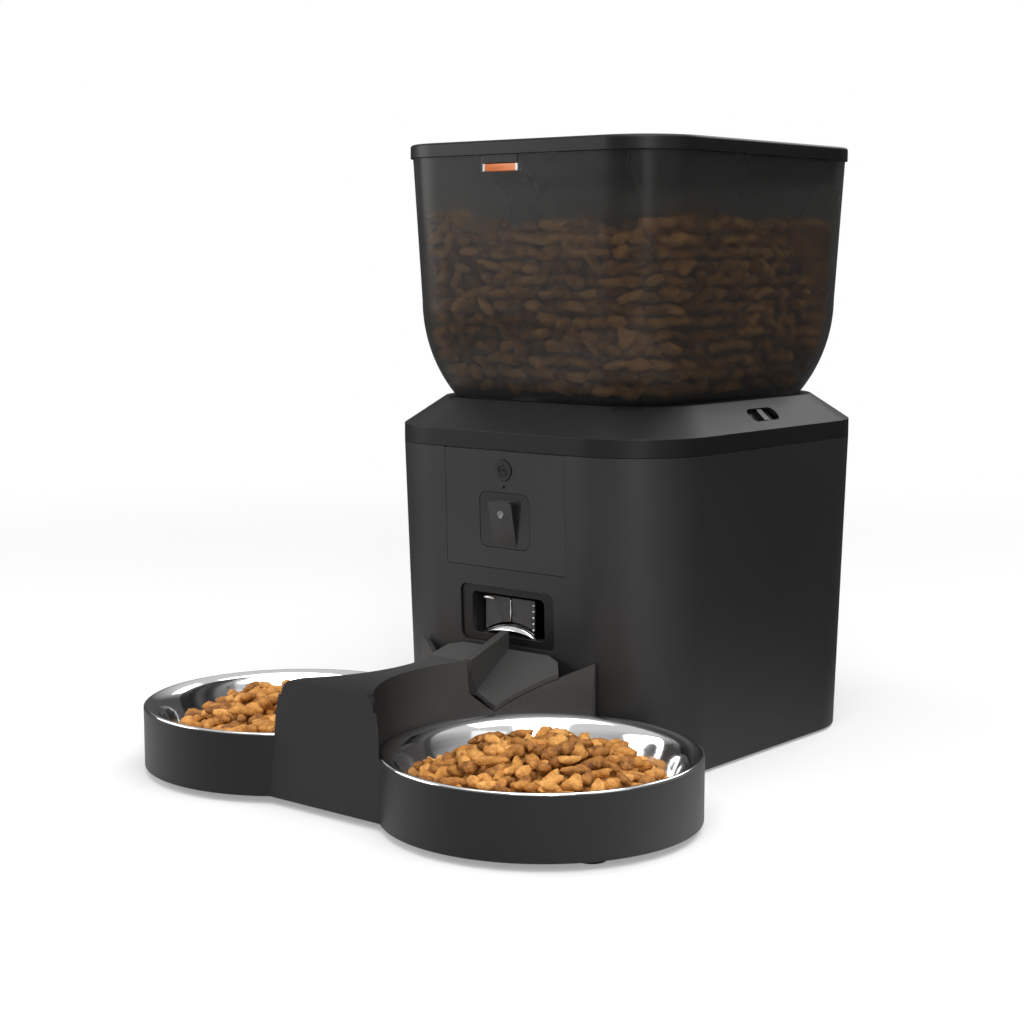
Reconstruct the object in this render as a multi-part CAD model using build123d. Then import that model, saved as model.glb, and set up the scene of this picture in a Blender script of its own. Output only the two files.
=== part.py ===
"""Automatic pet feeder with a lift-off food hopper and a pull-out tray for two bowls.

Millimetres, +Z up, the front of the feeder faces -Y. The pieces are drawn about the
vertical axis of the column and are all moved by column_y when they are written, so that
the origin of the finished assembly is at the bottom centre of its bounding box.
"""
import os
from math import atan2, cos, hypot, pi, radians, sin, sqrt

from build123d import *

# ---- clearances ----
gap = 0.3               # between two separate mouldings
seam_gap = 0.2          # between stacked mouldings
running_clearance = 0.06

# ---- column: housing, cover and base ----
wall = 2.5              # moulded wall of housing, cover, tray and hopper
skirt_z = 1.2           # lower edge of the housing above the floor
side_draft = 2.5         # the housing is this much narrower at the foot on each side
end_draft = 5.5          # and this much shallower at the front and the back
seam_z = 161.7          # top edge of the housing
housing_half_width = 93.5
housing_half_depth = 107.5
housing_corner = 46.0
band_height = 9.3       # upright band of the top cover
shoulder_height = 14.2  # sloping shoulder of the top cover
plateau_half_width = 78.0
plateau_half_depth = 86.5
plateau_corner = 38.0
lip_height = 5.0        # cover lip that drops into the housing
base_plate_thickness = 3.0
boss_radius = 4.5
screw_radius = 1.5
screw_head_radius = 2.8
screw_head_height = 2.0

# ---- hopper and lid ----
hopper_top_z = 310.0
hopper_knee_z = 236.0
hopper_top_half_width = 87.7
hopper_top_half_depth = 97.4
hopper_knee_half_width = 84.4
hopper_knee_half_depth = 94.3
hopper_base_half_width = 70.0
hopper_base_half_depth = 82.5
hopper_corner = 32.0
hopper_base_corner = 30.0
hopper_tuck_radius = 78.0
lid_half_width = 89.0
lid_half_depth = 98.6
lid_corner = 33.0
lid_thickness = 7.1
lid_skirt_depth = 11.2
lid_skirt_clearance = 2.4
desiccant_size = 72.0
desiccant_depth = 15.0
latch_x = -10.8         # the latch sits to the left of the middle
latch_width = 23.0
latch_height = 3.8
latch_drop = 6.3         # middle of the latch below the hopper's upper edge

# ---- metering rotor and drive ----
chamber_radius = 63.0
neck_ledge = 7.0         # the hopper's food neck is this much narrower than the chamber
chamber_floor_z = 121.0
chamber_plate_z = 161.5 # shield plate above the vanes
vane_count = 6
vane_clearance = 1.5
rotor_shaft_radius = 4.0
drop_ledge = 4.0         # floor left between the drop hole and the chamber's wall
drop_back = 34.0         # back edge of the drop hole ahead of the axis
drop_half_width = 22.0
gear_module = 1.5
rotor_teeth = 34
pinion_teeth = 12
gear_width = 7.0
gear_top_z = 116.0
motor_radius = 17.5
motor_length = 38.0
gearbox_height = 18.0

# ---- front controls and outlet ----
panel_half_width = 39.5
panel_bottom_z = 100.6
panel_depth = 1.0
round_button_z = 151.7
round_button_radius = 5.3
round_button_travel = 1.0
feed_button_z = 125.9
feed_button_width = 32.5
feed_button_height = 28.3
feed_button_corner = 4.5
feed_button_travel = 1.5
wedge_width = 15.3
wedge_bottom_z = 112.9
wedge_top_z = 136.0
wedge_rise = 4.0
lens_z = 129.5
lens_radius = 2.0
microphone_z = 143.1
microphone_hole_radius = 0.8
outlet_z = 76.3
outlet_half_width = 31.0
outlet_height = 29.3
outlet_corner = 4.0
window_half_width = 23.0
window_height = 19.6
window_corner = 2.0
bezel_recess = 1.2      # the bezel lies this far behind the housing face
board_depth = 15.0      # control board behind the housing face
board_thickness = 1.6
board_screw_x = 31.0
board_screw_z = 20.0
chute_wall = 2.0
chute_sill = 1.2        # underside of the chute above the outlet's lower edge
lip_half_width = 20.0
lip_crest_z = 73.7
lip_length = 12.0
lip_thickness = 1.0

# ---- hopper lock on the right shoulder ----
lock_slot_length = 26.0
lock_slot_width = 8.6
lock_tab_width = 4.6

# ---- bowl tray, splitter and bowls ----
bowl_offset_x = 82.3
bowl_offset_y = 177.8
holder_radius = 75.0
tray_foot_z = 3.5
holder_top_z = 33.2
bowl_rim_thickness = 1.2
bowl_lip_width = 3.6
bowl_depth = 25.0
bowl_steel = 0.8
bowl_floor_radius = 50.0
block_front = 237.0
block_front_z = 61.3
block_back_z = 61.8
block_half_width = 57.5
block_front_lean = 3.0  # how far the front face leans back over its height
block_corner = 7.5      # rounded upper corners of the front face
guard_crease_z = 45.5   # the guard walls are upright below and flare outwards above
guard_flare = 1.7
guard_wall = 3.0
recess_front = 148.8
recess_floor_z = 35.5
guard_ramp_low_z = 52.6  # top of the guard beside the splitter, rising outwards
guard_ramp_high_z = 59.4
plate_top_z = 61.0      # splitter plates at the housing face
plate_slope = 0.70      # fall of the plates towards the front
plate_thickness = 2.6
plate_half_width = 43.0
plate_front = 137.0     # front corner of the plates, ahead of the column axis
bowl_path_clearance = 0.6
fin_thickness = 5.0
fin_top_z = 69.0
fin_front = 134.6
fin_front_z = 58.8
fin_nose_z = 49.5
fin_foot = 130.6
fin_foot_z = 42.0
splitter_leg_half_width = 14.0
splitter_leg_depth = 16.0
splitter_lift = 30.0    # travel that frees the splitter's leg from its recess
tongue_half_width = 26.0
tongue_thickness = 4.0
tongue_length = 24.0
tongue_z = 9.0
tray_foot_radius = 6.5

# ---- backup power ----
cell_radius = 16.6
cell_length = 61.5
cell_count = 3
door_thickness = 2.0

# ---- derived levels ----
foot_half_width = housing_half_width - side_draft
foot_half_depth = housing_half_depth - end_draft
neck_radius = chamber_radius - neck_ledge
drop_front = chamber_radius - drop_ledge
latch_z = hopper_top_z - latch_drop
band_top_z = seam_z + band_height
plateau_z = band_top_z + shoulder_height
hopper_base_z = plateau_z + seam_gap
lid_z = hopper_top_z + seam_gap
base_plate_z = skirt_z + 0.4
base_top_z = base_plate_z + base_plate_thickness
column_y = (bowl_offset_y + holder_radius - housing_half_depth) / 2
front_lean = atan2(housing_half_depth - foot_half_depth, seam_z - skirt_z)

MIN_Z = (Align.CENTER, Align.CENTER, Align.MIN)


def save(name, shape):
    """Write one piece, moved from the column axis to the frame of the whole feeder."""
    export_step(Pos(0, column_y, 0) * shape, os.path.join("parts", name + ".step"))


def group(solids):
    """Several separate solids that share one node."""
    return Compound([piece for item in solids for piece in item.solids()])


def outline(half_width, half_depth, corner, z):
    """Rounded rectangle at the height z."""
    return Pos(0, 0, z) * RectangleRounded(2 * half_width, 2 * half_depth, corner)


def frustum(low, high):
    """Straight-sided body between two outlines."""
    return loft([low.face(), high.face()], ruled=True)


def slab(half_width, half_depth, corner, z0, z1):
    """Upright rounded block between two heights."""
    return extrude(outline(half_width, half_depth, corner, z0), z1 - z0, dir=(0, 0, 1))


def rod(x, y, z0, z1, radius):
    """Upright cylinder between two heights."""
    return Pos(x, y, z0) * Cylinder(radius, z1 - z0, align=MIN_Z)


def block(x0, x1, y0, y1, z0, z1):
    """Box given by its limits."""
    size = Box(x1 - x0, y1 - y0, z1 - z0, align=(Align.MIN, Align.MIN, Align.MIN))
    return Pos(x0, y0, z0) * size


def side_prism(points, half_width):
    """Outline in the Y-Z plane, extended equally to both sides of the middle."""
    face = make_face(Polyline(*[(0, y, z) for y, z in points], close=True))
    return extrude(face, half_width, dir=(1, 0, 0), both=True)


def mirrored(shape):
    """A shape and its mirror image across the middle plane."""
    return [shape, mirror(shape, about=Plane.YZ)]


def face_depth(z):
    """Distance of the front face from the column axis at the height z."""
    share = (z - skirt_z) / (seam_z - skirt_z)
    return foot_half_depth + share * (housing_half_depth - foot_half_depth)


def front_plane(z, x=0.0, depth=0.0):
    """Plane on the leaning front face, +Z outwards, moved inwards by depth."""
    normal = (0, -cos(front_lean), -sin(front_lean))
    plane = Plane(origin=(x, -face_depth(z), z), x_dir=(1, 0, 0), z_dir=normal)
    return plane.offset(-depth)


def front_pad(width, height, corner, z, outer, inner):
    """Rounded plate parallel to the front face between two depths behind it."""
    sketch = front_plane(z, depth=inner) * RectangleRounded(width, height, corner)
    return extrude(sketch, inner - outer)


def front_disc(radius, z, outer, inner, x=0.0):
    """Round plate parallel to the front face between two depths behind it."""
    return extrude(front_plane(z, x, inner) * Circle(radius), inner - outer)


# ---- column ----

boss_reach = (housing_corner - wall - boss_radius + 1.0) * cos(pi / 4)
boss_x = foot_half_width - housing_corner + boss_reach
boss_y = foot_half_depth - housing_corner + boss_reach
boss_places = [(sx * boss_x, sy * boss_y) for sx in (-1, 1) for sy in (-1, 1)]
boss_top_z = 40.0
inlet_x = 42.0
inlet_z = 24.0
inlet_width = 15.0
inlet_height = 12.0
inlet_bore_radius = 2.8
inlet_bore_length = 9.0
outlet_bottom_z = outlet_z - outlet_height / 2


def column_shell(inset, z0, z1):
    """Tapered column body, set in from the outer faces, between two heights."""
    def section(z):
        share = (z - skirt_z) / (seam_z - skirt_z)
        half_width = foot_half_width + share * (housing_half_width - foot_half_width)
        return outline(half_width - inset, face_depth(z) - inset, housing_corner - inset, z)
    return frustum(section(z0), section(z1))


def make_main_housing():
    shell = column_shell(0, skirt_z, seam_z)
    shell -= column_shell(wall, skirt_z - 1, seam_z + 1)
    inside = column_shell(wall - 0.5, skirt_z, seam_z)
    for x, y in boss_places:
        boss = rod(x, y, base_top_z + seam_gap, boss_top_z, boss_radius)
        shell += boss & inside
    for x, y in boss_places:
        shell -= rod(x, y, base_top_z - 1, boss_top_z - 5, screw_radius)
    panel_height = seam_z - panel_bottom_z
    panel_middle = (seam_z + panel_bottom_z) / 2
    shell -= front_pad(2 * panel_half_width, panel_height + 1, 0.8, panel_middle + 0.5,
                       -5, panel_depth)
    shell -= front_disc(round_button_radius + gap, round_button_z, -1, wall + 1)
    shell -= front_disc(microphone_hole_radius, microphone_z, -1, wall + 1)
    shell -= front_pad(feed_button_width + 2 * gap, feed_button_height + 2 * gap,
                       feed_button_corner + gap, feed_button_z, -1, wall + 1)
    shell -= front_pad(2 * outlet_half_width, outlet_height, outlet_corner, outlet_z,
                       -5, wall + 1)
    for sx in (-1, 1):
        for sz in (-1, 1):
            z = feed_button_z + sz * board_screw_z
            post = front_disc(3.0, z, wall - 0.5, board_depth - seam_gap, sx * board_screw_x)
            post -= front_disc(screw_radius, z, wall + 1, board_depth + 1, sx * board_screw_x)
            shell += post
    slot = block(-tongue_half_width - gap, tongue_half_width + gap,
                 -foot_half_depth - 5, -foot_half_depth + 10,
                 tongue_z - tongue_thickness / 2 - gap, tongue_z + tongue_thickness / 2 + gap)
    shell -= slot
    half = inlet_width / 2 + gap
    shell -= block(inlet_x - half, inlet_x + half, foot_half_depth - 10,
                   foot_half_depth + 10, inlet_z - inlet_height / 2 - gap,
                   inlet_z + inlet_height / 2 + gap)
    return shell


shoulder_run = housing_half_width - plateau_half_width
shoulder_length = hypot(shoulder_run, shoulder_height)


def cover_body(inset, z0, top):
    """Upright band, sloping shoulder and plateau of the cover, set in by an even wall."""
    drop = inset * (shoulder_length - shoulder_height) / shoulder_run
    crown_inset = inset * (shoulder_length - shoulder_run) / shoulder_height
    band = slab(housing_half_width - inset, housing_half_depth - inset,
                housing_corner - inset, z0, band_top_z - drop)
    edge = outline(housing_half_width - inset, housing_half_depth - inset,
                   housing_corner - inset, band_top_z - drop)
    crown = outline(plateau_half_width - crown_inset, plateau_half_depth - crown_inset,
                    plateau_corner - crown_inset, top)
    return band + frustum(edge, crown)


cover_opening_radius = neck_radius + wall + gap
chamber_outer = chamber_radius + 3.0
lug_reach = chamber_outer + gap + boss_radius
lug_turns = (40, 140, 220, 320)
lug_places = [(lug_reach * cos(radians(a)), lug_reach * sin(radians(a))) for a in lug_turns]
lug_top_z = 174.5
lug_thickness = 2.8


def shoulder_plane(depth=0.0):
    """Plane on the middle of the right shoulder, local X along the feeder's depth."""
    origin = (housing_half_width - shoulder_run / 2, 0, band_top_z + shoulder_height / 2)
    normal = (shoulder_height, 0, shoulder_run)
    return Plane(origin=origin, x_dir=(0, 1, 0), z_dir=normal).offset(-depth)


def make_top_cover():
    cover = cover_body(0, seam_z + seam_gap, plateau_z)
    cover -= cover_body(wall, seam_z - 1, plateau_z - wall)
    lip = slab(housing_half_width - wall - gap, housing_half_depth - wall - gap,
               housing_corner - wall - gap, seam_z - lip_height, seam_z + 3)
    lip_inner = 2 * wall + gap
    lip -= slab(housing_half_width - lip_inner, housing_half_depth - lip_inner,
                housing_corner - lip_inner, seam_z - lip_height - 1, seam_z + 4)
    bridge = slab(housing_half_width - 0.5, housing_half_depth - 0.5,
                  housing_corner - 0.5, seam_z + seam_gap, seam_z + 3)
    bridge -= slab(housing_half_width - lip_inner, housing_half_depth - lip_inner,
                   housing_corner - lip_inner, seam_z, seam_z + 4)
    relief = front_pad(2 * panel_half_width + 4, 40, 2, seam_z - 10, -1, board_depth + 3)
    cover += (lip - relief) + bridge
    cover -= rod(0, 0, plateau_z - 10, plateau_z + 1, cover_opening_radius)
    for x, y in lug_places:
        cover += rod(x, y, lug_top_z + seam_gap, plateau_z - wall + 0.1, boss_radius)
    for x, y in lug_places:
        cover -= rod(x, y, lug_top_z, plateau_z - wall - 1, screw_radius)
    slot = shoulder_plane(wall + 3) * SlotOverall(lock_slot_length, lock_slot_width)
    cover -= extrude(slot, wall + 8)
    return cover


def make_hopper_lock():
    depth = wall + gap
    plate = shoulder_plane(depth + 1.6) * RectangleRounded(lock_slot_length - 4, 13.0, 2.0)
    slider = extrude(plate, 1.6)
    tab = shoulder_plane(depth + 0.5) * RectangleRounded(lock_tab_width, lock_slot_width - 1, 1)
    return slider + extrude(tab, depth + 0.3)


battery_span = cell_count * 2 * cell_radius + 6.0
battery_half_width = battery_span / 2
battery_front = -12.0
battery_back = battery_front + cell_length + 13.0
battery_wall = 1.6
speaker_x = 52.0
speaker_y = -52.0
speaker_radius = 18.0
foot_pad_radius = 8.0
foot_pad_height = 2.2
foot_places = [(sx * 58.0, sy * 78.0) for sx in (-1, 1) for sy in (-1, 1)]


def make_base_plate():
    inset = wall + gap
    plate = slab(foot_half_width - inset, foot_half_depth - inset, housing_corner - inset,
                 base_plate_z, base_top_z)
    door_edge = battery_half_width - battery_wall
    plate -= block(-door_edge, door_edge, battery_front + battery_wall,
                   battery_back - battery_wall, 0, base_top_z + 1)
    for x, y in boss_places:
        plate -= rod(x, y, 0, base_top_z + 1, screw_radius + 0.2)
        plate -= rod(x, y, 0, base_plate_z + screw_head_height, screw_head_radius + 0.2)
    for x, y in foot_places:
        plate -= rod(x, y, 0, foot_pad_height, foot_pad_radius + 0.1)
    for x, y in grille_places():
        plate -= rod(x, y, 0, base_top_z + 1, 1.3)
    return plate


def grille_places():
    """Seven rows of sound holes under the speaker."""
    pitch = 5.0
    places = []
    for row in range(-3, 4):
        for column in range(-3, 4):
            x = (column + 0.5 * (row % 2)) * pitch
            y = row * pitch * sqrt(3) / 2
            if hypot(x, y) < speaker_radius - 4:
                places.append((speaker_x + x, speaker_y + y))
    return places


def screw(x, y, head_z, length):
    """Pan-head screw pointing up, its head resting under head_z + its height."""
    head = rod(x, y, head_z, head_z + screw_head_height, screw_head_radius)
    head -= rod(x, y, head_z - 1, head_z + 1.0, 1.0)
    return head + rod(x, y, head_z + screw_head_height - 0.5, head_z + length, screw_radius - 0.05)


def make_speaker():
    z = base_top_z + 0.1
    rim = rod(speaker_x, speaker_y, z, z + 3.0, speaker_radius)
    rim -= rod(speaker_x, speaker_y, z - 1, z + 1.2, speaker_radius - 3)
    return rim + rod(speaker_x, speaker_y, z + 2.9, z + 9.0, speaker_radius * 0.45)


def make_power_inlet():
    y_face = face_depth(inlet_z) - 0.2
    body = block(inlet_x - inlet_width / 2, inlet_x + inlet_width / 2, y_face - 12, y_face,
                 inlet_z - inlet_height / 2, inlet_z + inlet_height / 2)
    flange = block(inlet_x - inlet_width / 2 - 2, inlet_x + inlet_width / 2 + 2,
                   y_face - wall - 4.5, y_face - wall - 2.5,
                   inlet_z - inlet_height / 2 - 2, inlet_z + inlet_height / 2 + 2)
    bore = Cylinder(inlet_bore_radius, inlet_bore_length + 1)
    bore = Pos(inlet_x, y_face - inlet_bore_length / 2 + 0.5, inlet_z) * Rot(90, 0, 0) * bore
    return body + flange - bore


# ---- backup batteries ----

battery_z = base_top_z + seam_gap
cell_z = door_thickness + base_plate_z + 0.8 + cell_radius


def cell_x(index):
    return (index - (cell_count - 1) / 2) * (2 * cell_radius + 0.8)


def make_battery_box():
    top = cell_z + cell_radius + 0.6 + battery_wall
    box = block(-battery_half_width, battery_half_width, battery_front, battery_back,
                battery_z, top)
    box -= block(-battery_half_width + battery_wall, battery_half_width - battery_wall,
                 battery_front + battery_wall, battery_back - battery_wall,
                 battery_z - 1, top - battery_wall)
    return box


def make_battery_door():
    edge = battery_half_width - battery_wall - gap
    door = block(-edge, edge, battery_front + battery_wall + gap,
                 battery_back - battery_wall - gap, base_plate_z, base_plate_z + door_thickness)
    grip = block(-10, 10, battery_back - 12, battery_back - 6, 0, base_plate_z + 0.8)
    return door - grip


def make_backup_batteries():
    cells = []
    for index in range(cell_count):
        start = battery_front + 6.5
        middle = Pos(cell_x(index), start + cell_length / 2, cell_z) * Rot(90, 0, 0)
        cell = middle * Cylinder(cell_radius, cell_length - 2)
        side = 1 if index % 2 else -1
        nub = Pos(cell_x(index), start + cell_length / 2 + side * cell_length / 2, cell_z)
        cell += nub * Rot(90, 0, 0) * Cylinder(4.5, 3)
        cells.append(cell)
    return group(cells)


def make_battery_contacts():
    plates = []
    for index in range(cell_count):
        x = cell_x(index)
        for y in (battery_front + battery_wall + 0.1, battery_back - battery_wall - 0.6):
            plates.append(block(x - 8, x + 8, y, y + 0.5, cell_z - 8, cell_z + 8))
    return group(plates)


# ---- metering chamber, rotor and drive ----

gear_bottom_z = gear_top_z - gear_width
motor_y = gear_module * (rotor_teeth + pinion_teeth) / 2
bracket_top_z = gear_bottom_z - 1.5
bracket_bottom_z = bracket_top_z - 2.5
post_radius = 4.0
side_post_x = 36.0
side_post_y = 4.0
rear_post_x = 30.0
rear_post_inset = 11.0   # rear posts ahead of the chamber's inner back wall
rear_post_y = chamber_radius - rear_post_inset
post_places = [(-side_post_x, side_post_y), (side_post_x, side_post_y),
               (-rear_post_x, rear_post_y), (rear_post_x, rear_post_y)]
bracket_half_width = 42.0
bracket_front = 8.0
bracket_back = 58.0
bracket_corner = 5.0


def make_metering_chamber():
    top = plateau_z - wall - seam_gap
    cup = rod(0, 0, chamber_floor_z - 2.5, top, chamber_outer)
    cup -= rod(0, 0, chamber_floor_z, top + 1, chamber_radius)
    cup -= rod(0, 0, chamber_plate_z, top + 1, chamber_radius + 1.3)
    cup -= block(-drop_half_width, drop_half_width, -drop_front, -drop_back,
                 chamber_floor_z - 5, chamber_floor_z + 1)
    cup -= rod(0, 0, chamber_floor_z - 5, chamber_floor_z + 1,
               rotor_shaft_radius + running_clearance)
    for turn in lug_turns:
        lug = rod(lug_reach, 0, lug_top_z - lug_thickness, lug_top_z, boss_radius)
        lug += block(chamber_radius + 2, lug_reach, -boss_radius, boss_radius,
                     lug_top_z - lug_thickness, lug_top_z)
        cup += Rot(0, 0, turn) * lug
    for x, y in lug_places:
        cup -= rod(x, y, lug_top_z - 5, lug_top_z + 1, screw_radius + 0.2)
    for x, y in post_places:
        cup += rod(x, y, bracket_top_z + 0.1, chamber_floor_z - 2.4, post_radius)
    for x, y in post_places:
        cup -= rod(x, y, bracket_top_z, chamber_floor_z - 4.5, screw_radius)
    return cup


shield_thickness = 2.0
shield_hub_radius = 11.0
shield_edge = 4.0        # rim left round the shield plate's food opening


def make_shield_plate():
    z0 = chamber_plate_z + 0.1
    plate = rod(0, 0, z0, z0 + shield_thickness, chamber_radius + 1.0)
    plate -= rod(0, 0, z0 - 1, z0 + 3, rotor_shaft_radius + 0.5)
    opening = rod(0, 0, z0 - 1, z0 + 3, chamber_radius - shield_edge)
    opening -= rod(0, 0, z0 - 2, z0 + 4, shield_hub_radius)
    opening &= block(-80, 80, 6, 80, z0 - 3, z0 + 5)
    return plate - opening


def make_food_rotor():
    z0 = chamber_floor_z + 0.5
    z1 = chamber_plate_z - 1.0
    tip = chamber_radius - vane_clearance
    rotor = rod(0, 0, z0, z1, 11.0)
    for index in range(vane_count):
        vane = block(0, tip, -1.25, 1.25, z0, z1)
        rotor += Rot(0, 0, index * 360 / vane_count + 30) * vane
    rotor &= rod(0, 0, z0 - 1, z1 + 1, tip)
    return rotor - rod(0, 0, z0 - 1, z1 + 1, rotor_shaft_radius)


shaft_bottom_z = bracket_bottom_z - 1.0
shaft_top_z = hopper_base_z + 12.0


def make_rotor_shaft():
    return rod(0, 0, shaft_bottom_z, shaft_top_z, rotor_shaft_radius)


def make_stirrer():
    z0 = chamber_plate_z + 5.0
    hub = rod(0, 0, z0, shaft_top_z + 3.0, 9.0)
    for turn in (0, 180):
        arm = block(4, 44.0, -2.5, 2.5, z0 + 8, z0 + 14)
        finger = rod(42.0, 0, z0 + 8, shaft_top_z + 14.0, 3.0)
        hub += Rot(0, 0, turn) * (arm + finger)
    return hub - rod(0, 0, z0 - 1, shaft_top_z, rotor_shaft_radius)


def gear(teeth, bore, z0, z1, phase):
    """Spur gear with slim straight-sided teeth."""
    pitch = gear_module * teeth / 2
    root = pitch - 1.1 * gear_module
    tip = pitch + 0.8 * gear_module
    step = 360 / teeth
    points = []
    for index in range(teeth):
        middle = phase + index * step
        for radius, turn in ((root, -0.30), (tip, -0.11), (tip, 0.11), (root, 0.30)):
            angle = radians(middle + turn * step)
            points.append((radius * cos(angle), radius * sin(angle)))
    wheel = extrude(Pos(0, 0, z0) * make_face(Polyline(*points, close=True)), z1 - z0)
    return wheel - rod(0, 0, z0 - 1, z1 + 1, bore)


def make_rotor_gear():
    wheel = gear(rotor_teeth, rotor_shaft_radius, gear_bottom_z, gear_top_z, 90)
    for turn in range(0, 360, 60):
        wheel -= Rot(0, 0, turn) * rod(14.5, 0, gear_bottom_z - 1, gear_top_z + 1, 4.2)
    return wheel


motor_shaft_radius = 3.0
gearbox_top_z = bracket_bottom_z - 0.1


def make_motor_pinion():
    wheel = gear(pinion_teeth, motor_shaft_radius, gear_bottom_z - 0.5, gear_top_z,
                 -90 + 180 / pinion_teeth)
    return Pos(0, motor_y, 0) * wheel


def make_motor_shaft():
    return rod(0, motor_y, gearbox_top_z - 4.0, gear_top_z, motor_shaft_radius)


def make_gearbox():
    case = rod(0, motor_y, gearbox_top_z - gearbox_height, gearbox_top_z, motor_radius + 1.0)
    return case - rod(0, motor_y, gearbox_top_z - 5.0, gearbox_top_z + 1,
                      motor_shaft_radius + running_clearance)


def make_drive_motor():
    top = gearbox_top_z - gearbox_height - 0.1
    can = rod(0, motor_y, top - motor_length, top, motor_radius)
    can = fillet(can.edges().group_by(Axis.Z)[0], 2.0)
    for sx in (-1, 1):
        can += block(sx * 8 - 1.5, sx * 8 + 1.5, motor_y - 0.4, motor_y + 0.4,
                     top - motor_length - 4, top - motor_length + 1)
    return can


def make_motor_bracket():
    plate = block(-bracket_half_width, bracket_half_width, -bracket_front, bracket_back,
                  bracket_bottom_z, bracket_top_z)
    plate = fillet(plate.edges().filter_by(Axis.Z), bracket_corner)
    plate -= rod(0, 0, bracket_bottom_z - 1, bracket_top_z + 1,
                 rotor_shaft_radius + running_clearance)
    plate -= rod(0, motor_y, bracket_bottom_z - 1, bracket_top_z + 1, motor_shaft_radius + 0.5)
    for x, y in post_places:
        plate -= rod(x, y, bracket_bottom_z - 1, bracket_top_z + 1, screw_radius + 0.2)
    return plate


# ---- food chute ----

chute_half_width = window_half_width + 1.5
chute_bottom_z = outlet_bottom_z + chute_sill
chute_mouth_y = -face_depth(outlet_z) + bezel_recess + wall + 1.5


def make_food_chute():
    top = chamber_floor_z - 2.5 - seam_gap
    z_low = chute_bottom_z
    z_high = outlet_z + outlet_height / 2 - 2.5
    outer = [(chute_mouth_y, z_low), (chute_mouth_y, z_high),
             (-drop_front - 6.0, top), (-drop_back + 2.2, top), (-72.0, z_low)]
    inner = [(chute_mouth_y - 2, z_low + chute_wall), (chute_mouth_y - 2, z_high - chute_wall),
             (chute_mouth_y + 1, z_high - chute_wall), (-drop_front - 4.0, top + 1),
             (-drop_back + 0.2, top + 1), (-73.5, z_low + chute_wall)]
    duct = side_prism(outer, chute_half_width + chute_wall)
    return duct - side_prism(inner, chute_half_width)


def make_chute_lip():
    """Polished arched deflector that sends the food to both sides of the fin."""
    foot_z = chute_bottom_z + chute_wall + 0.1
    rise = lip_crest_z - foot_z
    radius = (lip_half_width ** 2 + rise ** 2) / (2 * rise)
    y0 = chute_mouth_y + 0.5
    ring = Cylinder(radius, lip_length) - Cylinder(radius - lip_thickness, lip_length + 1)
    arch = Pos(0, y0 + lip_length / 2, lip_crest_z - radius) * Rot(90, 0, 0) * ring
    return arch & block(-lip_half_width, lip_half_width, y0 - 1, y0 + lip_length + 1,
                        foot_z, lip_crest_z + 1)


def make_chute_sensors():
    z = outlet_z + 1.0
    x0 = chute_half_width + chute_wall + 0.1
    return group(mirrored(block(x0, x0 + 4.0, -90, -84, z - 3, z + 3)))


# ---- controls ----

flange_thickness = 1.4
switch_face = board_depth - 4.0


def make_front_panel():
    height = seam_z - 0.3 - panel_bottom_z
    middle = panel_bottom_z + gap / 2 + height / 2
    panel = front_pad(2 * panel_half_width - gap, height - gap, 0.6, middle, 0.1,
                      panel_depth - 0.05)
    panel -= front_disc(round_button_radius + gap, round_button_z, -1, wall)
    panel -= front_disc(microphone_hole_radius, microphone_z, -1, wall)
    panel -= front_pad(feed_button_width + 2 * gap, feed_button_height + 2 * gap,
                       feed_button_corner + gap, feed_button_z, -1, wall)
    return panel


def make_round_button():
    back = wall + gap
    button = front_disc(round_button_radius, round_button_z, -0.4, back + 1)
    button += front_disc(round_button_radius + 2, round_button_z, back, back + flange_thickness)
    stem_end = switch_face - round_button_travel - 0.3
    button += front_disc(1.8, round_button_z, back, stem_end)
    symbol = front_disc(2.9, round_button_z, -1, -0.15) - front_disc(2.2, round_button_z, -2, 1)
    return button - symbol


def make_feed_button():
    back = wall + gap
    plate = front_pad(feed_button_width, feed_button_height, feed_button_corner,
                      feed_button_z, 0.2, back + 0.5)
    plate += front_pad(feed_button_width + 3, feed_button_height + 3, feed_button_corner,
                       feed_button_z, back, back + flange_thickness)
    plate += wedge_body()
    stem_end = switch_face - feed_button_travel - 0.3
    plate += front_disc(2.5, feed_button_z, back, stem_end)
    return plate - lens_body(0.05, -2)


def wedge_body():
    """Finger wedge, level with the plate at its foot and raised at its top."""
    height = wedge_top_z - wedge_bottom_z
    middle = (wedge_top_z + wedge_bottom_z) / 2
    plane = front_plane(middle)
    blank = plane.offset(-1.0) * RectangleRounded(wedge_width, height, 2.0)
    body = extrude(blank, wedge_rise + 2)
    half = height / 2 + 1
    slope = wedge_rise / height
    above = [(-half, -half * slope + wedge_rise / 2), (half, half * slope + wedge_rise / 2),
             (half, wedge_rise + 6), (-half, wedge_rise + 6)]
    face = make_face(Polyline(*[(0, u, v) for u, v in above], close=True))
    cutter = extrude(face, wedge_width, dir=(1, 0, 0), both=True)
    return body - plane.location * cutter


def lens_body(clearance, inner):
    """Round status lens set into the wedge's slope."""
    share = (lens_z - wedge_bottom_z) / (wedge_top_z - wedge_bottom_z)
    surface = share * wedge_rise
    return front_disc(lens_radius + clearance, lens_z, -surface - 0.3, -inner - surface)


def make_status_lens():
    return lens_body(0, -1.9)


def make_control_board():
    half_height = board_screw_z + 5
    board = front_pad(72, 2 * half_height + 10, 1.0, feed_button_z + 5, board_depth,
                      board_depth + board_thickness)
    for sx in (-1, 1):
        for sz in (-1, 1):
            board -= front_disc(screw_radius + 0.2, feed_button_z + sz * board_screw_z,
                                board_depth - 1, board_depth + 5, sx * board_screw_x)
    return board


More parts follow.
